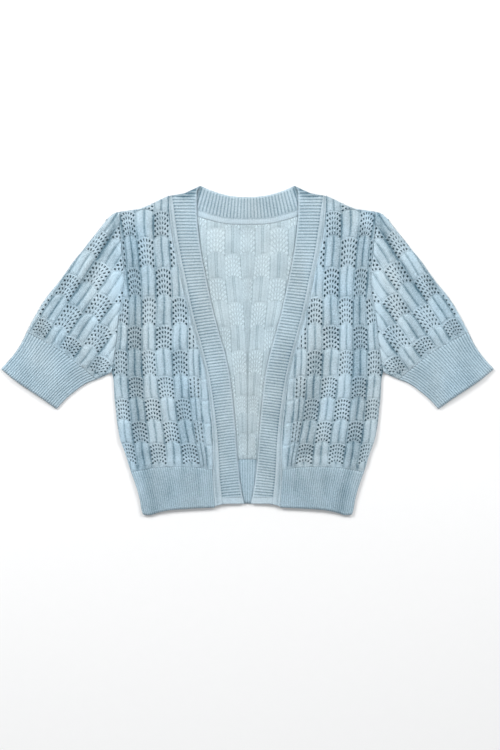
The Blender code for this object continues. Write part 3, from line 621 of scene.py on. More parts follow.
def front_under(points):
    """Height of the front layer's underside."""
    from_rim = np.minimum(distances(points, FRONT_RIM[0]), distances(points, FRONT_RIM[1]))
    up = np.minimum(points[:, 1], FREE_EDGE_TOP)
    from_free_edge = points[:, 0] - column(BAND_ROWS, "up", "free_edge", up)
    puff = FRONT_PUFF * ease(from_rim / PUFF_REACH)
    puff *= ease(FREE_EDGE_PUFF + from_free_edge / (2.0 * PUFF_REACH))
    puff *= kept(points, ARMHOLE, PUFF_REACH, PUFF_AT_ARMHOLE)
    puff *= kept(points, HEM_BOTTOM, 3.0 * PUFF_REACH, PUFF_AT_HEM)
    return FRONT_FLOOR + puff * fold_factor(points, FRONT_FOLDS)


def sleeve_under(points):
    """Height of the underside of a sleeve's and a cuff's upper wall."""
    from_fold = np.minimum(distances(points, SLEEVE_EDGES), distances(points, SLEEVE_UNDER_EDGES))
    puff = SLEEVE_PUFF * ease(from_fold / PUFF_REACH)
    puff *= kept(points, ARMHOLE, PUFF_REACH, SLEEVE_PUFF_AT_ARMHOLE)
    puff *= kept(points, CUFF_END, 2.0 * PUFF_REACH, SLEEVE_PUFF_AT_END)
    return SLEEVE_FLOOR + puff * fold_factor(points, SLEEVE_FOLDS)


def rim_share(points, path, width):
    """0 away from an edge and 1 on it, along a quarter of a circle."""
    share = 1.0 - np.clip(distances(points, path) / width, 0.0, 1.0)
    return 1.0 - np.sqrt(1.0 - share * share)


def rim_drop(points, path, rim):
    """How far a sheet rounds down towards an edge that it ends at."""
    return rim.drop * rim_share(points, path, rim.width)


def tube_height(points, upper, lower, folds):
    """Height of a flattened tube's two walls, which meet at its folds; lower says which points are below."""
    fold = np.maximum(*(rim_share(points, path, FOLD_WIDTH) for path in folds))
    height = np.where(lower, LOWER_HEIGHT, upper)
    return height + (FOLD_HEIGHT - height) * fold


def patch(strip, across, down):
    """Points of the four-sided strip between its top, bottom, near and far edges."""
    across, down = np.asarray(across), np.asarray(down)
    top, bottom = along(strip.top, across), along(strip.bottom, across)
    near, far = along(strip.near, down), along(strip.far, down)
    share, drop = across[:, None], down[:, None]
    flat_top = strip.top[0] + (strip.top[-1] - strip.top[0]) * share
    flat_bottom = strip.bottom[0] + (strip.bottom[-1] - strip.bottom[0]) * share
    ruled = top + (bottom - top) * drop + near + (far - near) * share
    return ruled - flat_top - (flat_bottom - flat_top) * drop


def profile(shares, at):
    """A table of shares as a smooth profile."""
    return ease(np.interp(at, [share.place for share in shares], [share.rise for share in shares]))


def rib_profile(rib):
    """Height of a 1 by 1 rib, 0 in its groove and 1 on its crest, by the number of ribs."""
    return 1.0 - np.abs(np.cos(np.pi * rib)) ** 2.0


def flat_grid(columns, rows):
    """A flat grid of columns and rows of cells, and each vertex's column and row, the first row on top."""
    mesh = bmesh.new()
    bmesh.ops.create_grid(mesh, x_segments=columns, y_segments=rows, size=1.0)
    places = np.array([vert.co.xy for vert in mesh.verts])
    marks = np.rint((places + 1.0) * 0.5 * (columns, rows))
    marks[:, 1] = rows - marks[:, 1]
    return mesh, marks


def lay_out(mesh, places, marks, verts=None):
    """Puts vertices at flat places, and stores their column and row on them."""
    layers = mesh.verts.layers.float
    wale = layers.get("wale") or layers.new("wale")
    course = layers.get("course") or layers.new("course")
    for vert, place, mark in zip(verts or mesh.verts, places, marks):
        vert.co = (place[0], place[1], 0.0)
        vert[wale] = mark[0]
        vert[course] = mark[1]


def plain_sheet(mesh, outs, ups, cell):
    """Adds a plain sheet to a flat mesh, marked by a course of -1, and returns its faces."""
    columns = int(abs(outs[1] - outs[0]) / cell) + 1
    rows = int(abs(ups[1] - ups[0]) / cell) + 1
    added = bmesh.ops.create_grid(mesh, x_segments=columns, y_segments=rows, size=1.0)["verts"]
    shares = (np.array([vert.co.xy for vert in added]) + 1.0) * 0.5
    low = np.array((min(outs), min(ups)))
    span = np.array((abs(outs[1] - outs[0]), abs(ups[1] - ups[0])))
    lay_out(mesh, low + span * shares, np.tile((0.0, -1.0), (len(added), 1)), added)
    return list({face: None for vert in added for face in vert.link_faces})


def middles(faces):
    """The flat middles of faces."""
    return np.array([face.calc_center_median().xy for face in faces])


def cut_out(mesh, outline, reach=1.6):
    """Trims a flat mesh: cuts it along each side of an outline and clears what lies outside."""
    ring = closed(outline)
    faces = list(mesh.faces)
    places = middles(faces)
    at_rim = distances(places, ring) < 1.5 * reach
    within = inside(places, outline)
    gone = [face for face, near, held in zip(faces, at_rim, within) if not near and not held]
    rim = [face for face, near in zip(faces, at_rim) if near]
    places = places[at_rim]
    bmesh.ops.delete(mesh, geom=gone, context="FACES")
    for start, end in zip(ring, ring[1:]):
        length = np.linalg.norm(end - start)
        run = (end - start) / length
        normal = np.array((-run[1], run[0]))
        offsets = places - start
        picked = np.flatnonzero((np.abs(offsets @ run - 0.5 * length) < 0.5 * length + reach)
                                & (np.abs(offsets @ normal) < reach))
        chosen = [rim[index] for index in picked]
        if chosen:
            edges = dict.fromkeys(edge for face in chosen for edge in face.edges)
            verts = dict.fromkeys(vert for face in chosen for vert in face.verts)
            cut = bmesh.ops.bisect_plane(
                mesh, geom=[*chosen, *edges, *verts], dist=0.04,
                plane_co=(*start, 0.0), plane_no=(*normal, 0.0))
            held = set(chosen)
            pieces = [item for item in cut["geom"] if isinstance(item, bmesh.types.BMFace)]
            added = [face for face in pieces if face not in held]
            places[picked] = middles(chosen)
            if added:
                rim += added
                places = np.concatenate((places, middles(added)))
    bmesh.ops.delete(mesh, geom=[face for face, held in zip(rim, inside(places, outline)) if not held],
                     context="FACES")


def raise_sheet(mesh, name, shape):
    """Turns a flat mesh into a knitted sheet: heights and shade from its shape, and a stitch map."""
    data = bpy.data.meshes.new(name)
    mesh.to_mesh(data)
    mesh.free()
    count = len(data.vertices)
    places = np.empty(count * 3, dtype=np.float32)
    data.vertices.foreach_get("co", places)
    places = places.reshape(count, 3).astype(float)
    marks = np.empty((2, count), dtype=np.float32)
    for row, layer in zip(marks, ("wale", "course")):
        data.attributes[layer].data.foreach_get("value", row)
    places[:, 2], shade, stitches = shape(places[:, :2], *marks.astype(float))
    data.vertices.foreach_set("co", (places * MM).ravel().astype(np.float32))
    # Painted shade and highlight, stored as the shade attribute for the finishes to mix into the yarn's
    # colour
    tone = data.attributes.new("shade", "FLOAT", "POINT")
    tone.data.foreach_set("value", np.clip(shade, *SHADE_RANGE).astype(np.float32))
    corners = np.empty(len(data.loops), dtype=np.int32)
    data.loops.foreach_get("vertex_index", corners)
    layer = data.uv_layers.new(name="stitches")
    layer.data.foreach_set("uv", stitches[corners].ravel().astype(np.float32))
    for layer in ("wale", "course"):
        data.attributes.remove(data.attributes[layer])
    return data


def weld(data):
    """Closes a tube where its first and last columns meet."""
    mesh = bmesh.new()
    mesh.from_mesh(data)
    bmesh.ops.remove_doubles(mesh, verts=mesh.verts, dist=1e-6)
    mesh.to_mesh(data)
    mesh.free()


def place_piece(context, data, name, node, slot):
    """Links a sheet, gives it its wall and finish, and lets it stand for its solid."""
    data.update()
    data.shade_smooth()
    piece = bpy.data.objects.new(name, data)
    context.scene.collection.objects.link(piece)
    data.materials.append(finishes(context)[slot])
    data.materials.append(finishes(context)["shaded"])
    is_inside = slot == "inside_knit"
    wall = piece.modifiers.new("wall", "SOLIDIFY")
    wall.thickness = BACK_SHEET if is_inside else context.scene.cardigan_knit.sheet
    wall.offset = -1.0
    # Painted shade: the rims, the eyelets' edges among them, and the inner side take the dark shaded yarn,
    # except on the back's inside
    wall.material_offset_rim = int(not is_inside)
    wall.material_offset = int(not is_inside)
    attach(piece, BODY)
    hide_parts(node)


def place_pair(context, data, name, node, slot):
    """Places a sheet on the wearer's left, and its mirror image on the right."""
    twin = data.copy()
    twin.transform(Matrix.Scale(-1.0, 4, (1.0, 0.0, 0.0)))
    twin.flip_normals()
    for side, mesh in (("left", data), ("right", twin)):
        mesh.name = name.format(side)
        place_piece(context, mesh, name.format(side), node.format(side), slot)


class Blocks:
    """A checkerboard of lace blocks and rib blocks between the columns and rows of a table."""

    def __init__(self, rows, edges_at, lace, narrow_columns=()):
        self.keys = np.array([row[0] for row in rows])
        self.edges_at = edges_at
        self.lace = lace
        self.rows, self.cols = lace.shape
        narrow = np.isin(np.arange(self.cols), narrow_columns)
        self.spacing = np.where(narrow, 2.0 * EYELET_CELLS, EYELET_CELLS)
        chance = np.random.default_rng(BLOCK_SEED)
        self.chance = chance.uniform(-1.0, 1.0, lace.shape)

    def split(self, wale, course):
        """Block column and row, and the shares across and down it, of places on the sheet."""
        col = np.clip(np.floor(wale / CELLS_ACROSS), 0, self.cols - 1).astype(int)
        row = np.clip(np.floor(course / CELLS_DOWN), 0, self.rows - 1).astype(int)
        return col, row, wale / CELLS_ACROSS - col, course / CELLS_DOWN - row

    def beside(self, wale, col):
        """How far places are to the side of the nearest line of eyelets, in cells."""
        return wale % self.spacing[col] - 0.5 * self.spacing[col]

    def lace_at(self, row, col):
        """Whether blocks are lace; there is none beyond the table."""
        held = (row >= 0) & (row < self.rows)
        return held & self.lace[np.clip(row, 0, self.rows - 1), col]

    def arch_weight(self, row, col, down):
        """How much of the lace arch shows at places of a block, its neighbours above and below too."""
        here = self.lace_at(row, col)
        below = self.lace_at(row + 1, col) * ARCH_AT_TOP * ease((down - 0.75) / 0.25)
        above = self.lace_at(row - 1, col) * (1.0 - ease(down / 0.35))
        return np.where(here, ARCH_AT_TOP + (1.0 - ARCH_AT_TOP) * down, below + above)

    def opened(self, marks, narrow, wide):
        """Grid places with the stitches drawn aside round each eyelet, widest at the sides of a block."""
        wale, course = marks[:, 0].copy(), marks[:, 1].copy()
        col, row, across, down = self.split(wale, course)
        lean = 2.0 * across - 1.0
        is_lace = self.lace_at(row, col) & (across > 0.0) & (down > 0.0)
        beside = self.beside(wale, col)
        rise = course % ARC_CELLS - 0.5 * ARC_CELLS
        beyond = np.abs(rise)
        at_eyelet = np.abs(beside) < EYELET_REACH
        width = narrow + (wide - narrow) * np.abs(lean) ** 1.5 + EYELET_CHANCE * self.chance[row, col]
        width -= LESS_IF_SPACED * (self.spacing[col] > EYELET_CELLS)
        widen = np.sign(beside) * np.where(beyond < 1.5, width, np.where(beyond < 2.5, EYELET_END, 0.0))
        fan = EYELET_FAN * lean * (1.0 - lean ** 8) * np.where(beyond < 2.5, 0.5 * rise, 0.0)
        chance = np.random.default_rng(STITCH_SEED)
        uneven = chance.normal(0.0, EYELET_CHANCE, (2, len(wale))) * at_eyelet
        drawn_in = 0.25 * np.sign(rise) * (np.abs(beyond - 2.0) < 0.5) * at_eyelet
        wale += is_lace * (at_eyelet * widen - fan + uneven[0])
        course += is_lace * (uneven[1] - drawn_in)
        return wale, course

    def place(self, wale, course, arch):
        """Positions across and along of grid places, with the lace arches."""
        col, row, across, down = self.split(wale, course)
        height = self.keys[row + 1] - self.keys[row]
        at = self.keys[row] + height * down
        hump = 1.0 - (2.0 * np.clip(across, 0.0, 1.0) - 1.0) ** 2
        at = at - height * arch * hump * self.arch_weight(row, col, down)
        edges = self.edges_at(at)
        index = np.arange(len(at))
        start, end = edges[col, index], edges[col + 1, index]
        return start + (end - start) * across, at

    def sheet(self, to_point, arch, narrow, wide, spared=None, reach=0.0):
        """The flat sheet of all blocks. Given a path, it cuts the eyelets that are not within reach of it."""
        size = (self.cols * CELLS_ACROSS, self.rows * CELLS_DOWN)
        mesh, marks = flat_grid(*size)
        wale, course = self.opened(marks, narrow, wide)
        across, at = self.place(wale, course, arch)
        cells = np.floor((middles(mesh.faces) + 1.0) * 0.5 * size).astype(int)
        cells[:, 1] = size[1] - 1 - cells[:, 1]
        lay_out(mesh, to_point(across, at), marks)
        if spared is None:
            return mesh
        col, row = cells[:, 0] // CELLS_ACROSS, cells[:, 1] // CELLS_DOWN
        step = cells[:, 1] % CELLS_DOWN % ARC_CELLS
        hole = self.lace_at(row, col) & (step >= FIRST_HOLE) & (step < FIRST_HOLE + HOLE_CELLS)
        hole &= np.abs(self.beside(cells[:, 0] + 0.5, col)) < HOLE_REACH
        hole &= distances(middles(mesh.faces), spared) > reach
        bmesh.ops.delete(mesh, geom=[face for face, cut in zip(mesh.faces, hole) if cut], context="FACES")
        return mesh

    def relief(self, wale, course, ridge):
        """Rise of the knit over its sheet, and its painted shade: darker in the ribs' grooves, round the
        eyelets and at the lace's borders, lighter on the strands.
        """
        col, row, across, down = self.split(wale, course)
        is_lace = self.lace_at(row, col)
        vary = 1.0 + 0.15 * self.chance[row, col] + 0.15 * np.sin(0.21 * course + 2.3 * col)
        drift = 0.022 * np.sin(0.17 * course + 4.1 * col)
        crests = profile(RIDGE_ACROSS, across + drift)
        runs_on = (row == self.rows - 1) | ((row == self.rows - 2) & (down > 0.5))
        ends = np.where(runs_on, 1.0, profile(RIDGE_ALONG, down))
        beside = np.abs(self.beside(wale, col))
        turn = 2.0 * np.pi * (course % ARC_CELLS) / ARC_CELLS
        between, at_holes = 0.5 + 0.5 * np.cos(turn), 0.5 - 0.5 * np.cos(turn)
        strands = ease(beside - 0.5) * at_holes
        border = profile(LACE_ACROSS, across)
        lace = (0.4 + 0.35 * strands + 0.15 * between) * border
        rise = ridge * np.where(is_lace, lace, vary * crests * ends)
        grooves = 0.78 * (1.0 - crests) ** 2.2 * (0.5 + 0.5 * ends) + 0.05 * (1.0 - ends)
        lean = np.abs(2.0 * across - 1.0)
        # Painted shade round the eyelets, darker toward a block's sides
        eyelet_shade = at_holes * (beside < EYELET_REACH) * (0.15 + 0.4 * lean)
        shade = np.where(is_lace, eyelet_shade - 0.12 * strands + 0.2 * (1.0 - border), grooves)
        return rise, shade

    def reverse(self, wale, course):
        """Shade of the knit's other side: pale eyelets and arcs in its lace, dark lines along its ribs."""
        col, row, _, _ = self.split(wale, course)
        arcs = 0.5 + 0.5 * np.cos(2.0 * np.pi * (course % ARC_CELLS) / ARC_CELLS)
        beside = np.abs(self.beside(wale, col))
        dashes = (1.0 - arcs) * (beside < 1.0)
        lines = np.zeros(CELLS_ACROSS)
        lines[list(REVERSE_LINES)] = list(REVERSE_LINES.values())
        lines = lines[np.rint(wale).astype(int) % CELLS_ACROSS]
        lace = 0.12 + 0.18 * (1.0 - arcs) - 0.64 * dashes - 0.14 * arcs
        return np.where(self.lace_at(row, col), lace, lines)


def checkerboard(rows, cols, first):
    """Which blocks are lace: every second one, starting from first in the upper left."""
    row, col = np.indices((rows, cols))
    return (row + col) % 2 == first


def extended(edges, before, after):
    """Column edges with one more column beyond each end."""
    return np.stack([edges[0] - before, *edges, edges[-1] + after])


def add_node(tree, kind, inputs, **options):
    """Adds a shader node with its options, and its inputs set or linked, and returns its outputs."""
    node = tree.nodes.new("ShaderNode" + kind)
    for option, value in options.items():
        setattr(node, option, value)
    for key, value in inputs.items():
        if isinstance(value, bpy.types.NodeSocket):
            tree.links.new(value, node.inputs[key])
        else:
            node.inputs[key].default_value = value
    return node.outputs


def matt_material(name, roughness, specular):
    """A new material with a matt surface."""
    material = bpy.data.materials.new(name)
    material.use_nodes = True
    shader = material.node_tree.nodes["Principled BSDF"]
    shader.inputs["Roughness"].default_value = roughness
    shader.inputs["Specular IOR Level"].default_value = specular
    return material


def knit_material(name, finish, yarn):
    """Matt knitted yarn: stitches by the stitch map, heathered, with painted shade in the stitches' hollows,
    in lines between wales and, by each sheet's shade attribute, in its grooves and folds.
    """
    material = matt_material(name, roughness=0.88, specular=0.25)
    tree = material.node_tree
    shader = tree.nodes["Principled BSDF"]
    shader.inputs["Sheen Weight"].default_value = 0.22
    shader.inputs["Sheen Roughness"].default_value = 0.45
    shader.inputs["Sheen Tint"].default_value = SHEEN_TINT

    def math(kind, *values):
        return add_node(tree, "Math", dict(enumerate(values)), operation=kind)[0]

    def noise(vector, scale, detail, roughness=0.5):
        inputs = {"Vector": vector, "Scale": scale, "Detail": detail, "Roughness": roughness}
        return add_node(tree, "TexNoise", inputs)["Fac"]

    def blend(share, first, second):
        return add_node(tree, "Mix", {0: share, 6: first, 7: second}, data_type="RGBA")[2]

    stitch = add_node(tree, "SeparateXYZ", {0: add_node(tree, "UVMap", {}, uv_map="stitches")["UV"]})
    leg = math("MULTIPLY", math("PINGPONG", stitch["X"], 0.5), 2.0)
    phase = math("SUBTRACT", stitch["Y"], math("MULTIPLY", leg, 0.6))
    loops = math("ABSOLUTE", math("SINE", math("MULTIPLY", phase, np.pi)))
    legs = math("ABSOLUTE", math("SINE", math("MULTIPLY", leg, np.pi)))
    stitch_height = math("MULTIPLY", math("POWER", loops, 0.7), math("ADD", math("MULTIPLY", legs, 0.6), 0.4))

    place = add_node(tree, "TexCoord", {})["Object"]
    upright = add_node(tree, "VectorMath", {0: place, 1: PATCH_STRETCH}, operation="MULTIPLY")["Vector"]
    fibres = noise(place, 480.0, 5.0, 0.7)
    patches = math("SUBTRACT", noise(upright, 15.0, 2.0), 0.5)
    # Painted shade and heather: the shade attribute, the stitches' hollows and the lines between wales darken
    # the yarn, and the noises vary it at random
    shade_and_heather_terms = (
        (add_node(tree, "Attribute", {}, attribute_name="shade")["Fac"], 0.7),
        (math("SUBTRACT", 1.0, stitch_height), 0.26),
        (math("POWER", math("SUBTRACT", 1.0, leg), 4.0), finish.line),
        (math("SUBTRACT", fibres, 0.5), finish.grain),
        (math("SUBTRACT", noise(place, 26.0, 4.0), 0.5), 0.45),
        (patches, 0.25 * finish.drift),
    )
    shade_and_heather = 0.0
    for value, amount in shade_and_heather_terms:
        shade_and_heather = math("ADD", shade_and_heather, math("MULTIPLY", value, amount))
    blue, grey = ((*np.multiply(finish.colour, tint), 1.0) for tint in (BLUER, GREYER))
    plain = blend(math("ADD", math("MULTIPLY", patches, 3.2 * finish.drift), 0.5), blue, grey)
    body = blend(shade_and_heather, plain, (*yarn.groove_colour, 1.0))
    tree.links.new(body, shader.inputs["Base Color"])

    height = math("ADD", stitch_height, math("MULTIPLY", fibres, 0.8))
    depth = yarn.stitch_depth * finish.depth
    bump = add_node(tree, "Bump", {"Strength": 0.8, "Distance": depth, "Height": height})
    tree.links.new(bump["Normal"], shader.inputs["Normal"])
    return material


def finishes(context):
    """The finishes of the yarn by their slots, made once."""
    yarn = context.scene.cardigan_yarn
    kinds = {
        "lace_knit": Finish(yarn.lace_colour, depth=1.0, grain=1.3, line=0.22, drift=1.0),
        "inside_knit": Finish(yarn.inside_colour, depth=0.8, grain=0.7, line=0.14, drift=0.4),
        "welt_rib": Finish(yarn.welt_colour, depth=0.9, grain=1.0, line=0.0, drift=0.5),
        "band_rib": Finish(yarn.band_colour, depth=0.9, grain=1.0, line=0.0, drift=0.5),
        "shaded": Finish(yarn.shaded_colour, depth=0.9, grain=1.0, line=0.0, drift=0.0),
    }
    return {name: bpy.data.materials.get(name + "_yarn") or knit_material(name + "_yarn", finish, yarn)
            for name, finish in kinds.items()}


FRONT_SEAM_ROWS = [row.up for row in BAND_ROWS if HEM_LINE[-1][1] < row.up < FRONT_SEAM_TOP]


def band_points(up, across):
    """Points of the front band: across is 0 at its seam, 1 where its ribs start and 2 at its free edge."""
    seam, start, free = (column(BAND_ROWS, "up", name, up) for name in ("seam", "rib_start", "free_edge"))
    tilt = column(BAND_ROWS, "up", "tilt", up)
    strip = seam + (start - seam) * across
    ribs = start + (free - start) * (across - 1.0)
    rise = tilt * np.clip(across - 1.0, 0.0, 1.0)
    return np.stack([np.where(across <= 1.0, strip, ribs), up + rise], axis=-1)


def band_height(rib):
    """Height up the garment of a number of the front band's ribs, counted from its foot."""
    growth = (BAND_PITCH_TOP - BAND_PITCH_BOTTOM) / (BAND_TOP - BAND_BOTTOM)
    return BAND_BOTTOM + BAND_PITCH_BOTTOM / growth * (np.exp(rib * growth) - 1.0)


def front_outline():
    """Outline of a front panel."""
    ups = np.array(FRONT_SEAM_ROWS)[::-1]
    seam = moved(band_points(ups, np.zeros(len(ups))), JOIN)
    seam = np.concatenate((HEM_LINE[-1:], seam, moved(SHOULDER[:1], 1.2)))
    return outline_of(
        rounded(seam), SHOULDER[1:], rounded(ARMHOLE)[1:], rounded(SIDE)[1:], rounded(HEM_LINE)[1:])


def flat_point(out, up):
    """A place by its distances out and up."""
    return np.stack([out, up], axis=-1)


def sleeve_point(across, down):
    """A place by its distances across and down the sleeve."""
    return SLEEVE_ORIGIN + SLEEVE_DOWN * down[:, None] + SLEEVE_ACROSS * across[:, None]


def edges_of(rows, beyond):
    """The rule for a table's column edges, with one more column beyond each end."""
    key, *names = rows[0]._fields

    def edges_at(place):
        return extended([column(rows, key, name, place) for name in names], *beyond)

    return edges_at


def front_blocks():
    """The fronts' checkerboard."""
    lace = checkerboard(len(FRONT_WALES) - 1, len(WaleRow._fields), 0)
    lace[:, 0] = False
    lace[-1] = False
    return Blocks(FRONT_WALES, edges_of(FRONT_WALES, FRONT_BEYOND), lace, narrow_columns=(1,))


def sleeve_blocks():
    """The sleeves' checkerboard."""
    lace = checkerboard(len(SLEEVE_WALES) - 1, len(SleeveRow._fields), 1)
    return Blocks(SLEEVE_WALES, edges_of(SLEEVE_WALES, SLEEVE_BEYOND), lace)


def back_blocks():
    """The checkerboard of what shows of the back, over both halves."""
    def edges_at(up):
        outer, middle, inner = (column(BACK_WALES, "up", name, up) for name in BackRow._fields[1:])
        beyond = BACK_SHOWN + BACK_LAP - outer
        return extended([-outer, -middle, -inner, inner, middle, outer], beyond, beyond)

    lace = checkerboard(len(BACK_WALES) - 1, 7, 0)
    lace[NARROW_CENTRE_ROW:, 3] = False
    return Blocks(BACK_WALES, edges_at, lace)


def rib_stitches(rib, down, depth):
    """Stitch map of a ribbed welt: ribs across and courses down."""
    return np.stack([rib, down * depth / COURSE], axis=-1)


def block_stitches(wale, course):
    """Stitch map of a checkerboard: wales across and courses down."""
    return np.stack([wale / CELLS_ACROSS * WALES_PER_BLOCK, course], axis=-1)


class CARDIGAN_OT_back(bpy.types.Operator):
    """Knits the back, whose inside shows in the opening"""
    bl_idname = "cardigan.back"
    bl_label = "Back"

    def execute(self, context):
        knit = context.scene.cardigan_knit
        neck = moved(NECK_SEAM, 0.0, -JOIN)[:-1]
        hem = moved(BACK_HEM_TOP, 0.0, JOIN)[::-1]
        half = outline_of(rounded(neck), NECK_CORNER, SHOULDER[1:], rounded(ARMHOLE)[1:],
                          rounded(SIDE[:-1])[1:], hem)
        outline = outline_of(half, mirrored(half))
        ring = closed(outline)
        blocks = back_blocks()

        def shape(points, wale, course):
            rise, _ = blocks.relief(wale, course, knit.inside_ridge / MM)
            side = course < 0.0
            height = PANEL_WALL + np.where(side, 0.0, rise * (1.0 - rim_share(points, ring, 2.4)))
            out = np.abs(points[:, 0])
            # Painted shade: darker beside and under the fronts' free edges
            under = ease((out - column(BAND_ROWS, "up", "free_edge", points[:, 1]) + 1.4) / 3.6)
            # The painted lines and pale marks of the knit's other side fade out at the centre line
            knitted = blocks.reverse(wale, course) * ease(0.25 + out / 7.0)
            shade = 0.3 + np.where(side, 0.0, knitted) + 0.8 * under
            return height, shade, block_stitches(wale, course)

        mesh = blocks.sheet(flat_point, knit.arch, narrow=0.0, wide=0.3)
        shown = spots((-BACK_SHOWN, BACK_SPAN[0]), (BACK_SHOWN, BACK_SPAN[0]),
                      (BACK_SHOWN, BACK_SPAN[1]), (-BACK_SHOWN, BACK_SPAN[1]))
        cut_out(mesh, shown)
        for side in (1.0, -1.0):
            plain_sheet(mesh, (side * BACK_SHOWN, side * BACK_REACH), BACK_SPAN, PLAIN_CELL)
        cut_out(mesh, outline, reach=0.8 * PLAIN_CELL)
        data = raise_sheet(mesh, "back_knit", shape)
        place_piece(context, data, "back_knit", "back_panel", "inside_knit")
        return {"FINISHED"}


class CARDIGAN_OT_fronts(bpy.types.Operator):
    """Knits the two lace and rib fronts"""
    bl_idname = "cardigan.fronts"
    bl_label = "Fronts"

    def execute(self, context):
        knit = context.scene.cardigan_knit
        outline = front_outline()
        ring = closed(outline)
        ups = np.array(FRONT_SEAM_ROWS)
        seam = band_points(ups, np.zeros(len(ups)))
        blocks = front_blocks()

        def shape(points, wale, course):
            rise, shade = blocks.relief(wale, course, knit.ridge / MM)
            creases = creased(points, FRONT_CREASES) * kept(points, HEM_LINE, 7.0)
            settled = kept(points, HEM_LINE, 8.0, SETTLED)
            beside_seam = bell(distances(points, seam), *FRONT_SEAM_RIDGE)
            height = front_under(points) + PANEL_WALL + rise * settled + creases
            height -= np.maximum(rim_drop(points, seam, SEAM_RIM), rim_drop(points, ARMHOLE, ARMHOLE_RIM))
            height += 0.6 * beside_seam
            height -= np.maximum(*(rim_drop(points, path, OUTER_RIM) for path in FRONT_RIM))
            shade = shade * settled + 0.45 * (1.0 - fold_factor(points, FRONT_FOLDS)) - 0.3 * creases
            shade += 0.25 * nearness(points, ARMHOLE, ARMHOLE_SHADE_REACH)
            shade -= 0.15 * beside_seam
            return np.maximum(height, BACK_TOP + knit.sheet / MM), shade, block_stitches(wale, course)

        mesh = blocks.sheet(flat_point, knit.arch, knit.middle_eyelet, knit.eyelet, ring, SPARED_RIM)
        cut_out(mesh, outline)
        data = raise_sheet(mesh, "front_knit", shape)
        place_pair(context, data, "front_{}_knit", "front_panel_{}", "lace_knit")
        return {"FINISHED"}


class CARDIGAN_OT_sleeves(bpy.types.Operator):
    """Knits the two sleeves, each a tube laid flat"""
    bl_idname = "cardigan.sleeves"
    bl_label = "Sleeves"

    def execute(self, context):
        knit = context.scene.cardigan_knit
        armhole = moved(ARMHOLE[1:-1], JOIN)[::-1]
        outline = outline_of(rounded(OUTER_FOLD), rounded(CUFF_SEAM)[1:], UNDER_FOLD[1:], rounded(armhole))
        blocks = sleeve_blocks()

        def shape(points, wale, course):
            rise, shade = blocks.relief(wale, course, knit.ridge / MM)
            lower = course < -0.5
            creases = creased(points, SLEEVE_CREASES) * kept(points, CUFF_SEAM, 6.0)
            settled = kept(points, CUFF_SEAM, 7.0, SETTLED)
            beside_armhole = bell(distances(points, armhole), *ARMHOLE_RIDGE)
            upper = sleeve_under(points) + PANEL_WALL + rise * settled + creases
            upper += 0.7 * beside_armhole - rim_drop(points, armhole, ARMHOLE_RIM)
            height = tube_height(points, upper, lower, (OUTER_FOLD, UNDER_FOLD))
            shade = shade * settled + 0.4 * (1.0 - fold_factor(points, SLEEVE_FOLDS))
            shade += 0.4 * nearness(points, SHOULDER_FOLD, SHOULDER_FOLD_REACH)
            shade -= 0.25 * creases + 0.2 * beside_armhole
            return height, np.where(lower, 0.1, shade), block_stitches(wale, course)

        folds = np.concatenate((OUTER_FOLD, CUFF_SEAM, UNDER_FOLD[1:]))
        mesh = blocks.sheet(
            sleeve_point, knit.arch, knit.middle_eyelet, 0.6 * knit.eyelet, folds, SPARED_FOLD)
        bmesh.ops.reverse_faces(mesh, faces=mesh.faces)
        low, high = outline.min(axis=0), outline.max(axis=0)
        lower = plain_sheet(mesh, (low[0] - 1.0, high[0] + 1.0), (low[1] - 1.0, high[1] + 1.0), TUBE_CELL)
        bmesh.ops.reverse_faces(mesh, faces=lower)
        cut_out(mesh, outline, reach=0.8 * TUBE_CELL)
        data = raise_sheet(mesh, "sleeve_knit", shape)
        place_pair(context, data, "sleeve_{}_knit", "sleeve_{}", "lace_knit")
        return {"FINISHED"}


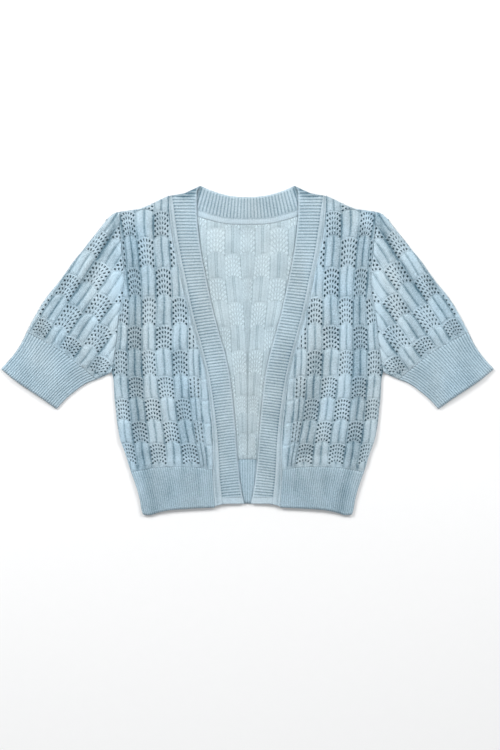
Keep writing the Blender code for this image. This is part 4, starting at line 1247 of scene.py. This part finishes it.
class CARDIGAN_OT_bands(bpy.types.Operator):
    """Knits the ribbed bands down the two front edges"""
    bl_idname = "cardigan.bands"
    bl_label = "Front Bands"

    def execute(self, context):
        knit = context.scene.cardigan_knit
        rows = int((BAND_RIBS[1] - BAND_RIBS[0]) * RIB_CELLS)
        mesh, marks = flat_grid(len(BAND_ACROSS) - 1, rows)
        rib = BAND_RIBS[1] - marks[:, 1] / RIB_CELLS
        across = np.array(BAND_ACROSS)[::-1][marks[:, 0].astype(int)]
        lay_out(mesh, band_points(band_height(rib), across), np.stack([across, rib], axis=-1))
        sides = np.linspace(BAND_BOTTOM, BAND_TOP, BAND_SIDE_SPOTS)
        free = band_points(sides, np.full(len(sides), 2.0))
        seam = band_points(sides, np.zeros(len(sides)))
        outline = outline_of(BAND_FOLD, seam[::-1], BAND_FOOT[::-1], free, BAND_PEAK)
        cut_out(mesh, outline)

        def shape(points, across, rib):
            crest = rib_profile(rib)
            foot = 1.0 - ease((points[:, 1] - BAND_FOOT_TOP) / 2.0)
            ribs = ease((across - 1.0) / 0.07) * (1.0 - ease((across - 1.9) / 0.07)) * (1.0 - foot)
            roll = bell(across, *BAND_ROLL) - 0.3 * bell(across, *BAND_DIP)
            links = (1.0 - crest) * (1.0 - foot) * bell(across, *BAND_LINKS)
            selvedge = bell(across, *BAND_SELVEDGE)
            creases = creased(points, BAND_CREASES)
            height = front_under(points) + BAND_WALL + creases
            height += knit.rib / MM * (crest * ribs + 0.45 * selvedge) + knit.roll / MM * roll - 0.6 * links
            height -= rim_drop(points, free, FREE_RIM) + rim_drop(points, BAND_FOLD, BAND_FOLD_RIM)
            shade = 0.68 * ribs * (1.0 - crest) + links + 0.2 * bell(across, *BAND_RIB_START_SHADE)
            shade += 0.45 * bell(across, *BAND_DIP_SHADE) - 0.4 * creases
            shade += 0.5 * nearness(points, BAND_FOLD, 2.2)
            shade += 0.35 * nearness(points, PEAK_FOLD, PEAK_REACH) - 0.1 * foot
            shade -= 0.4 * bell(across, *BAND_SEAM_LIGHT)
            stitches = np.where(across > 0.99, (rib, (across - 1.0) * BAND_RIB_WIDTH / COURSE),
                                (across * ROLL_WALES, points[:, 1] / COURSE))
            return height, shade, stitches.T

        data = raise_sheet(mesh, "band_rib", shape)
        place_pair(context, data, "front_{}_band_rib", "front_band_{}", "band_rib")
        return {"FINISHED"}


class CARDIGAN_OT_back_neck(bpy.types.Operator):
    """Knits the band round the back neck"""
    bl_idname = "cardigan.back_neck"
    bl_label = "Back Neck Band"

    def execute(self, context):
        knit = context.scene.cardigan_knit
        columns = int(2 * NECK_RIBS * RIB_CELLS + 2 * NECK_SIDE_CELLS)
        mesh, marks = flat_grid(columns, NECK_ROWS)
        cell = marks[:, 0] - columns / 2.0
        shown = NECK_RIBS * RIB_CELLS
        beyond = np.clip((np.abs(cell) - shown) / NECK_SIDE_CELLS, 0.0, 1.0)
        rib = np.clip(cell, -shown, shown) / RIB_CELLS
        head = np.abs(rib) * NECK_PITCH
        foot = head * NECK_FAN
        end = NECK_SEAM[-1][0]
        head, foot = head + (end - head) * beyond, foot + (end - foot) * beyond
        upper = np.concatenate((NECK_EDGE, moved(BAND_FOLD[1:], 0.0, -0.3)))
        top = np.stack([head, np.interp(head, upper[:, 0], upper[:, 1])], axis=-1)
        bottom = np.stack([foot, np.interp(foot, NECK_SEAM[:, 0], NECK_SEAM[:, 1])], axis=-1)
        down = marks[:, 1] / NECK_ROWS
        places = top + (bottom - top) * down[:, None]
        places[:, 0] *= np.sign(cell)
        lay_out(mesh, places, np.stack([rib, down], axis=-1))
        bmesh.ops.remove_doubles(mesh, verts=mesh.verts, dist=0.01)

        def shape(points, rib, down):
            crest = rib_profile(rib)
            ribs = ease((down - 0.02) / 0.05) * (1.0 - ease((down - NECK_GROOVE[0] + 0.05) / 0.05))
            groove = bell(down, *NECK_GROOVE)
            height = HEM_WALL + knit.rib / MM * 0.8 * crest * ribs - 0.4 * groove
            height += 0.4 * bell(down, *NECK_ROLL)
            half = np.abs(points)
            height -= rim_drop(half, NECK_EDGE, NECK_RIM)
            height -= 0.6 * ease((half[:, 0] - 66.0) / 10.0)
            height = np.maximum(height, knit.sheet / MM + LOWER_HEIGHT)
            shade = 0.03 + 0.66 * ribs * (1.0 - crest) + 0.35 * groove
            shade += 0.6 * nearness(half, NECK_PEAK, PEAK_REACH)
            return height, shade, rib_stitches(rib, down, NECK_DEPTH)

        data = raise_sheet(mesh, "back_neck_rib", shape)
        place_piece(context, data, "back_neck_rib", "back_neck_band", "band_rib")
        return {"FINISHED"}


def ribbed(strip, ribs, rows, cells=RIB_CELLS):
    """A flat ribbed patch between four edges, with its ribs from top to bottom."""
    mesh, marks = flat_grid(ribs * cells, rows)
    across, down = marks[:, 0] / (ribs * cells), marks[:, 1] / rows
    lay_out(mesh, patch(strip, across, down), np.stack([across * ribs, down], axis=-1))
    return mesh


class CARDIGAN_OT_hems(bpy.types.Operator):
    """Knits the ribbed welts under the back and the two fronts"""
    bl_idname = "cardigan.hems"
    bl_label = "Hems"

    def execute(self, context):
        knit = context.scene.cardigan_knit
        self.back_hem(context, knit)
        top = rounded(moved(HEM_LINE, 0.0, -JOIN)[::-1])
        ups = np.array([row.up for row in BAND_ROWS if HEM_LINE[-1][1] > row.up > HEM_SEAM_FOOT])
        seam = moved(band_points(ups, np.zeros(len(ups))), JOIN)
        bottom = rounded(np.concatenate((moved(HEM_BOTTOM[-1:], JOIN), HEM_BOTTOM[::-1][1:])))
        far = np.concatenate((top[-1:], HEM_SIDE[1:]))
        strip = Strip(top, bottom, np.concatenate((top[:1], seam, bottom[:1])), far)

        def shape(points, rib, down):
            crest = rib_profile(rib)
            edge = bell(down, *WELT_EDGE)
            creases = creased(points, HEM_CREASES)
            height = front_under(points) + HEM_WALL + 0.95 * knit.rib / MM * crest + creases
            height -= 0.15 * (1.0 - ease(down / 0.1)) + rim_drop(points, HEM_BOTTOM, HEM_RIM)
            height -= rim_drop(points, HEM_SIDE, OUTER_RIM)
            height = np.maximum(height, BACK_TOP + 0.2 + knit.sheet / MM)
            shade = 0.1 + 0.5 * (1.0 - crest) * (1.0 - edge) - 0.1 * edge - 0.25 * creases
            return height, shade, rib_stitches(rib, down, HEM_DEPTH)

        data = raise_sheet(ribbed(strip, HEM_RIBS, HEM_ROWS), "hem_rib", shape)
        place_pair(context, data, "front_{}_hem_rib", "front_hem_{}", "welt_rib")
        return {"FINISHED"}

    def back_hem(self, context, knit):
        """The welt of the back, of which the middle shows."""
        far = np.concatenate((BACK_HEM_TOP[-1:], moved(HEM_SIDE[1:-1], -0.4), BACK_HEM_BOTTOM[-1:]))
        top, bottom = (np.concatenate((mirrored(half[1:]), half)) for half in (BACK_HEM_TOP, BACK_HEM_BOTTOM))
        strip = Strip(top, bottom, far * (-1.0, 1.0), far)

        def shape(points, rib, down):
            crest = rib_profile(rib)
            tuck = 1.0 - ease(down / 0.06)
            rise = 0.6 * knit.rib / MM * (1.0 - ease((np.abs(points[:, 0]) - 20.0) / 30.0))
            height = HEM_WALL - 0.3 + rise * crest - 0.3 * tuck
            height -= rim_drop(points, bottom, BACK_HEM_RIM)
            height = np.maximum(height, knit.sheet / MM + LOWER_HEIGHT)
            shade = 0.08 + 0.5 * (1.0 - crest) + 0.2 * tuck
            return height, shade, rib_stitches(rib, down, HEM_DEPTH)

        mesh = ribbed(strip, BACK_HEM_RIBS, BACK_HEM_ROWS, BACK_HEM_CELLS)
        data = raise_sheet(mesh, "back_hem_rib", shape)
        place_piece(context, data, "back_hem_rib", "back_hem", "welt_rib")


class CARDIGAN_OT_cuffs(bpy.types.Operator):
    """Knits the two ribbed cuffs, each a tube laid flat"""
    bl_idname = "cardigan.cuffs"
    bl_label = "Cuffs"

    def execute(self, context):
        knit = context.scene.cardigan_knit
        seam = rounded(np.concatenate((CUFF_OUTER[:1], moved(CUFF_SEAM[1:-1], 0.03, -0.05), CUFF_UNDER[:1])))
        strip = Strip(seam, rounded(CUFF_END), rounded(CUFF_OUTER), rounded(CUFF_UNDER))
        columns = 2 * CUFF_RIBS * RIB_CELLS
        mesh, marks = flat_grid(columns, CUFF_ROWS)
        turn = 2.0 * marks[:, 0] / columns
        across = np.where(turn <= 1.0, turn, 2.0 - turn)
        down = marks[:, 1] / CUFF_ROWS
        lay_out(mesh, patch(strip, across, down), np.stack([turn * CUFF_RIBS, down], axis=-1))
        bmesh.ops.reverse_faces(mesh, faces=mesh.faces)

        def shape(points, rib, down):
            crest = rib_profile(rib)
            rise = 0.95 * knit.rib / MM * crest
            upper = sleeve_under(points) + HEM_WALL - 0.3 + rise + creased(points, CUFF_CREASES)
            upper -= 0.1 * (1.0 - ease(down / 0.1)) + rim_drop(points, strip.bottom, CUFF_RIM)
            height = tube_height(points, upper, rib > CUFF_RIBS, (strip.near, strip.far))
            end = bell(down, *WELT_EDGE)
            shade = 0.68 * (1.0 - crest) ** 1.3 * (1.0 - end) - 0.1 * end
            return height, shade, rib_stitches(rib, down, CUFF_DEPTH)

        data = raise_sheet(mesh, "cuff_rib", shape)
        weld(data)
        place_pair(context, data, "cuff_{}_rib", "cuff_{}", "welt_rib")
        return {"FINISHED"}


class CARDIGAN_OT_stage(bpy.types.Operator):
    """Lays out the pale floor, the soft lights and the camera straight above"""
    bl_idname = "cardigan.stage"
    bl_label = "Stage"

    def execute(self, context):
        stage = context.scene.cardigan_stage
        mesh = bmesh.new()
        bmesh.ops.create_grid(mesh, x_segments=8, y_segments=8, size=3.0)
        data = bpy.data.meshes.new("floor")
        mesh.to_mesh(data)
        mesh.free()
        floor = bpy.data.objects.new("floor", data)
        context.scene.collection.objects.link(floor)
        data.materials.append(self.floor_finish(tuple(stage.floor_colour)))
        self.lights(context, stage)
        self.camera(context, stage.camera_height)
        return {"FINISHED"}

    def floor_finish(self, colour):
        """Matt white paper."""
        material = matt_material("floor_paper", roughness=0.95, specular=0.1)
        tree = material.node_tree
        place = add_node(tree, "TexCoord", {})["Object"]
        grain = add_node(tree, "TexNoise", {"Vector": place, "Scale": 60.0})["Fac"]
        darker = tuple(0.985 * part for part in colour)
        tone = add_node(tree, "Mix", {0: grain, 6: (*darker, 1.0), 7: (*colour, 1.0)}, data_type="RGBA")[2]
        tree.links.new(tone, tree.nodes["Principled BSDF"].inputs["Base Color"])
        return material

    def lights(self, context, stage):
        """A broad key from the upper left, a fill opposite, and even light from all round."""
        for name, place, size, share in STAGE_LIGHTS:
            lamp = bpy.data.lights.new(name, "AREA")
            lamp.size = size
            lamp.energy = stage.key_power * share
            item = bpy.data.objects.new(name, lamp)
            item.location = place
            item.rotation_euler = (-Vector(place)).to_track_quat("-Z", "Y").to_euler()
            context.scene.collection.objects.link(item)
        world = bpy.data.worlds.new("even_light")
        world.use_nodes = True
        backdrop = world.node_tree.nodes["Background"]
        backdrop.inputs["Color"].default_value = ROOM_COLOUR
        backdrop.inputs["Strength"].default_value = stage.even_light
        context.scene.world = world
        context.scene.view_settings.view_transform = "Standard"

    def camera(self, context, height):
        """A long lens straight above the middle of the photo's frame."""
        lens = bpy.data.cameras.new("camera")
        lens.sensor_width = SENSOR_WIDTH
        lens.lens = SENSOR_WIDTH * height / FRAME_HEIGHT
        lens.clip_end = 20.0
        item = bpy.data.objects.new("camera", lens)
        item.location = (FRAME_CENTRE[0], FRAME_CENTRE[1], height)
        context.scene.collection.objects.link(item)
        context.scene.camera = item


OPERATORS = (
    CARDIGAN_OT_back, CARDIGAN_OT_back_neck, CARDIGAN_OT_fronts, CARDIGAN_OT_hems, CARDIGAN_OT_bands,
    CARDIGAN_OT_sleeves, CARDIGAN_OT_cuffs, CARDIGAN_OT_stage)


class CARDIGAN_PT_pieces(bpy.types.Panel):
    """Lists the pieces of the cardigan and their settings"""
    bl_idname = "CARDIGAN_PT_pieces"
    bl_label = "Cardigan"
    bl_space_type = "VIEW_3D"
    bl_region_type = "UI"
    bl_category = "Cardigan"

    def draw(self, context):
        layout, scene = self.layout, context.scene
        for settings in (scene.cardigan_yarn, scene.cardigan_knit, scene.cardigan_stage):
            box = layout.box()
            for name in settings.__annotations__:
                box.prop(settings, name)
        for operator in OPERATORS:
            layout.operator(operator.bl_idname)


CLASSES = (YarnSettings, KnitSettings, StageSettings, *OPERATORS, CARDIGAN_PT_pieces)


def register():
    """Adds the settings, operators and panel."""
    for item in CLASSES:
        bpy.utils.register_class(item)
    bpy.types.Scene.cardigan_yarn = bpy.props.PointerProperty(type=YarnSettings)
    bpy.types.Scene.cardigan_knit = bpy.props.PointerProperty(type=KnitSettings)
    bpy.types.Scene.cardigan_stage = bpy.props.PointerProperty(type=StageSettings)


def unregister():
    """Takes them away again."""
    del bpy.types.Scene.cardigan_stage
    del bpy.types.Scene.cardigan_knit
    del bpy.types.Scene.cardigan_yarn
    for item in reversed(CLASSES):
        bpy.utils.unregister_class(item)


def main():
    """Makes every piece and the stage."""
    register()
    for operator in OPERATORS:
        getattr(bpy.ops.cardigan, operator.bl_idname.split(".")[1])()


if __name__ == "__main__":
    main()
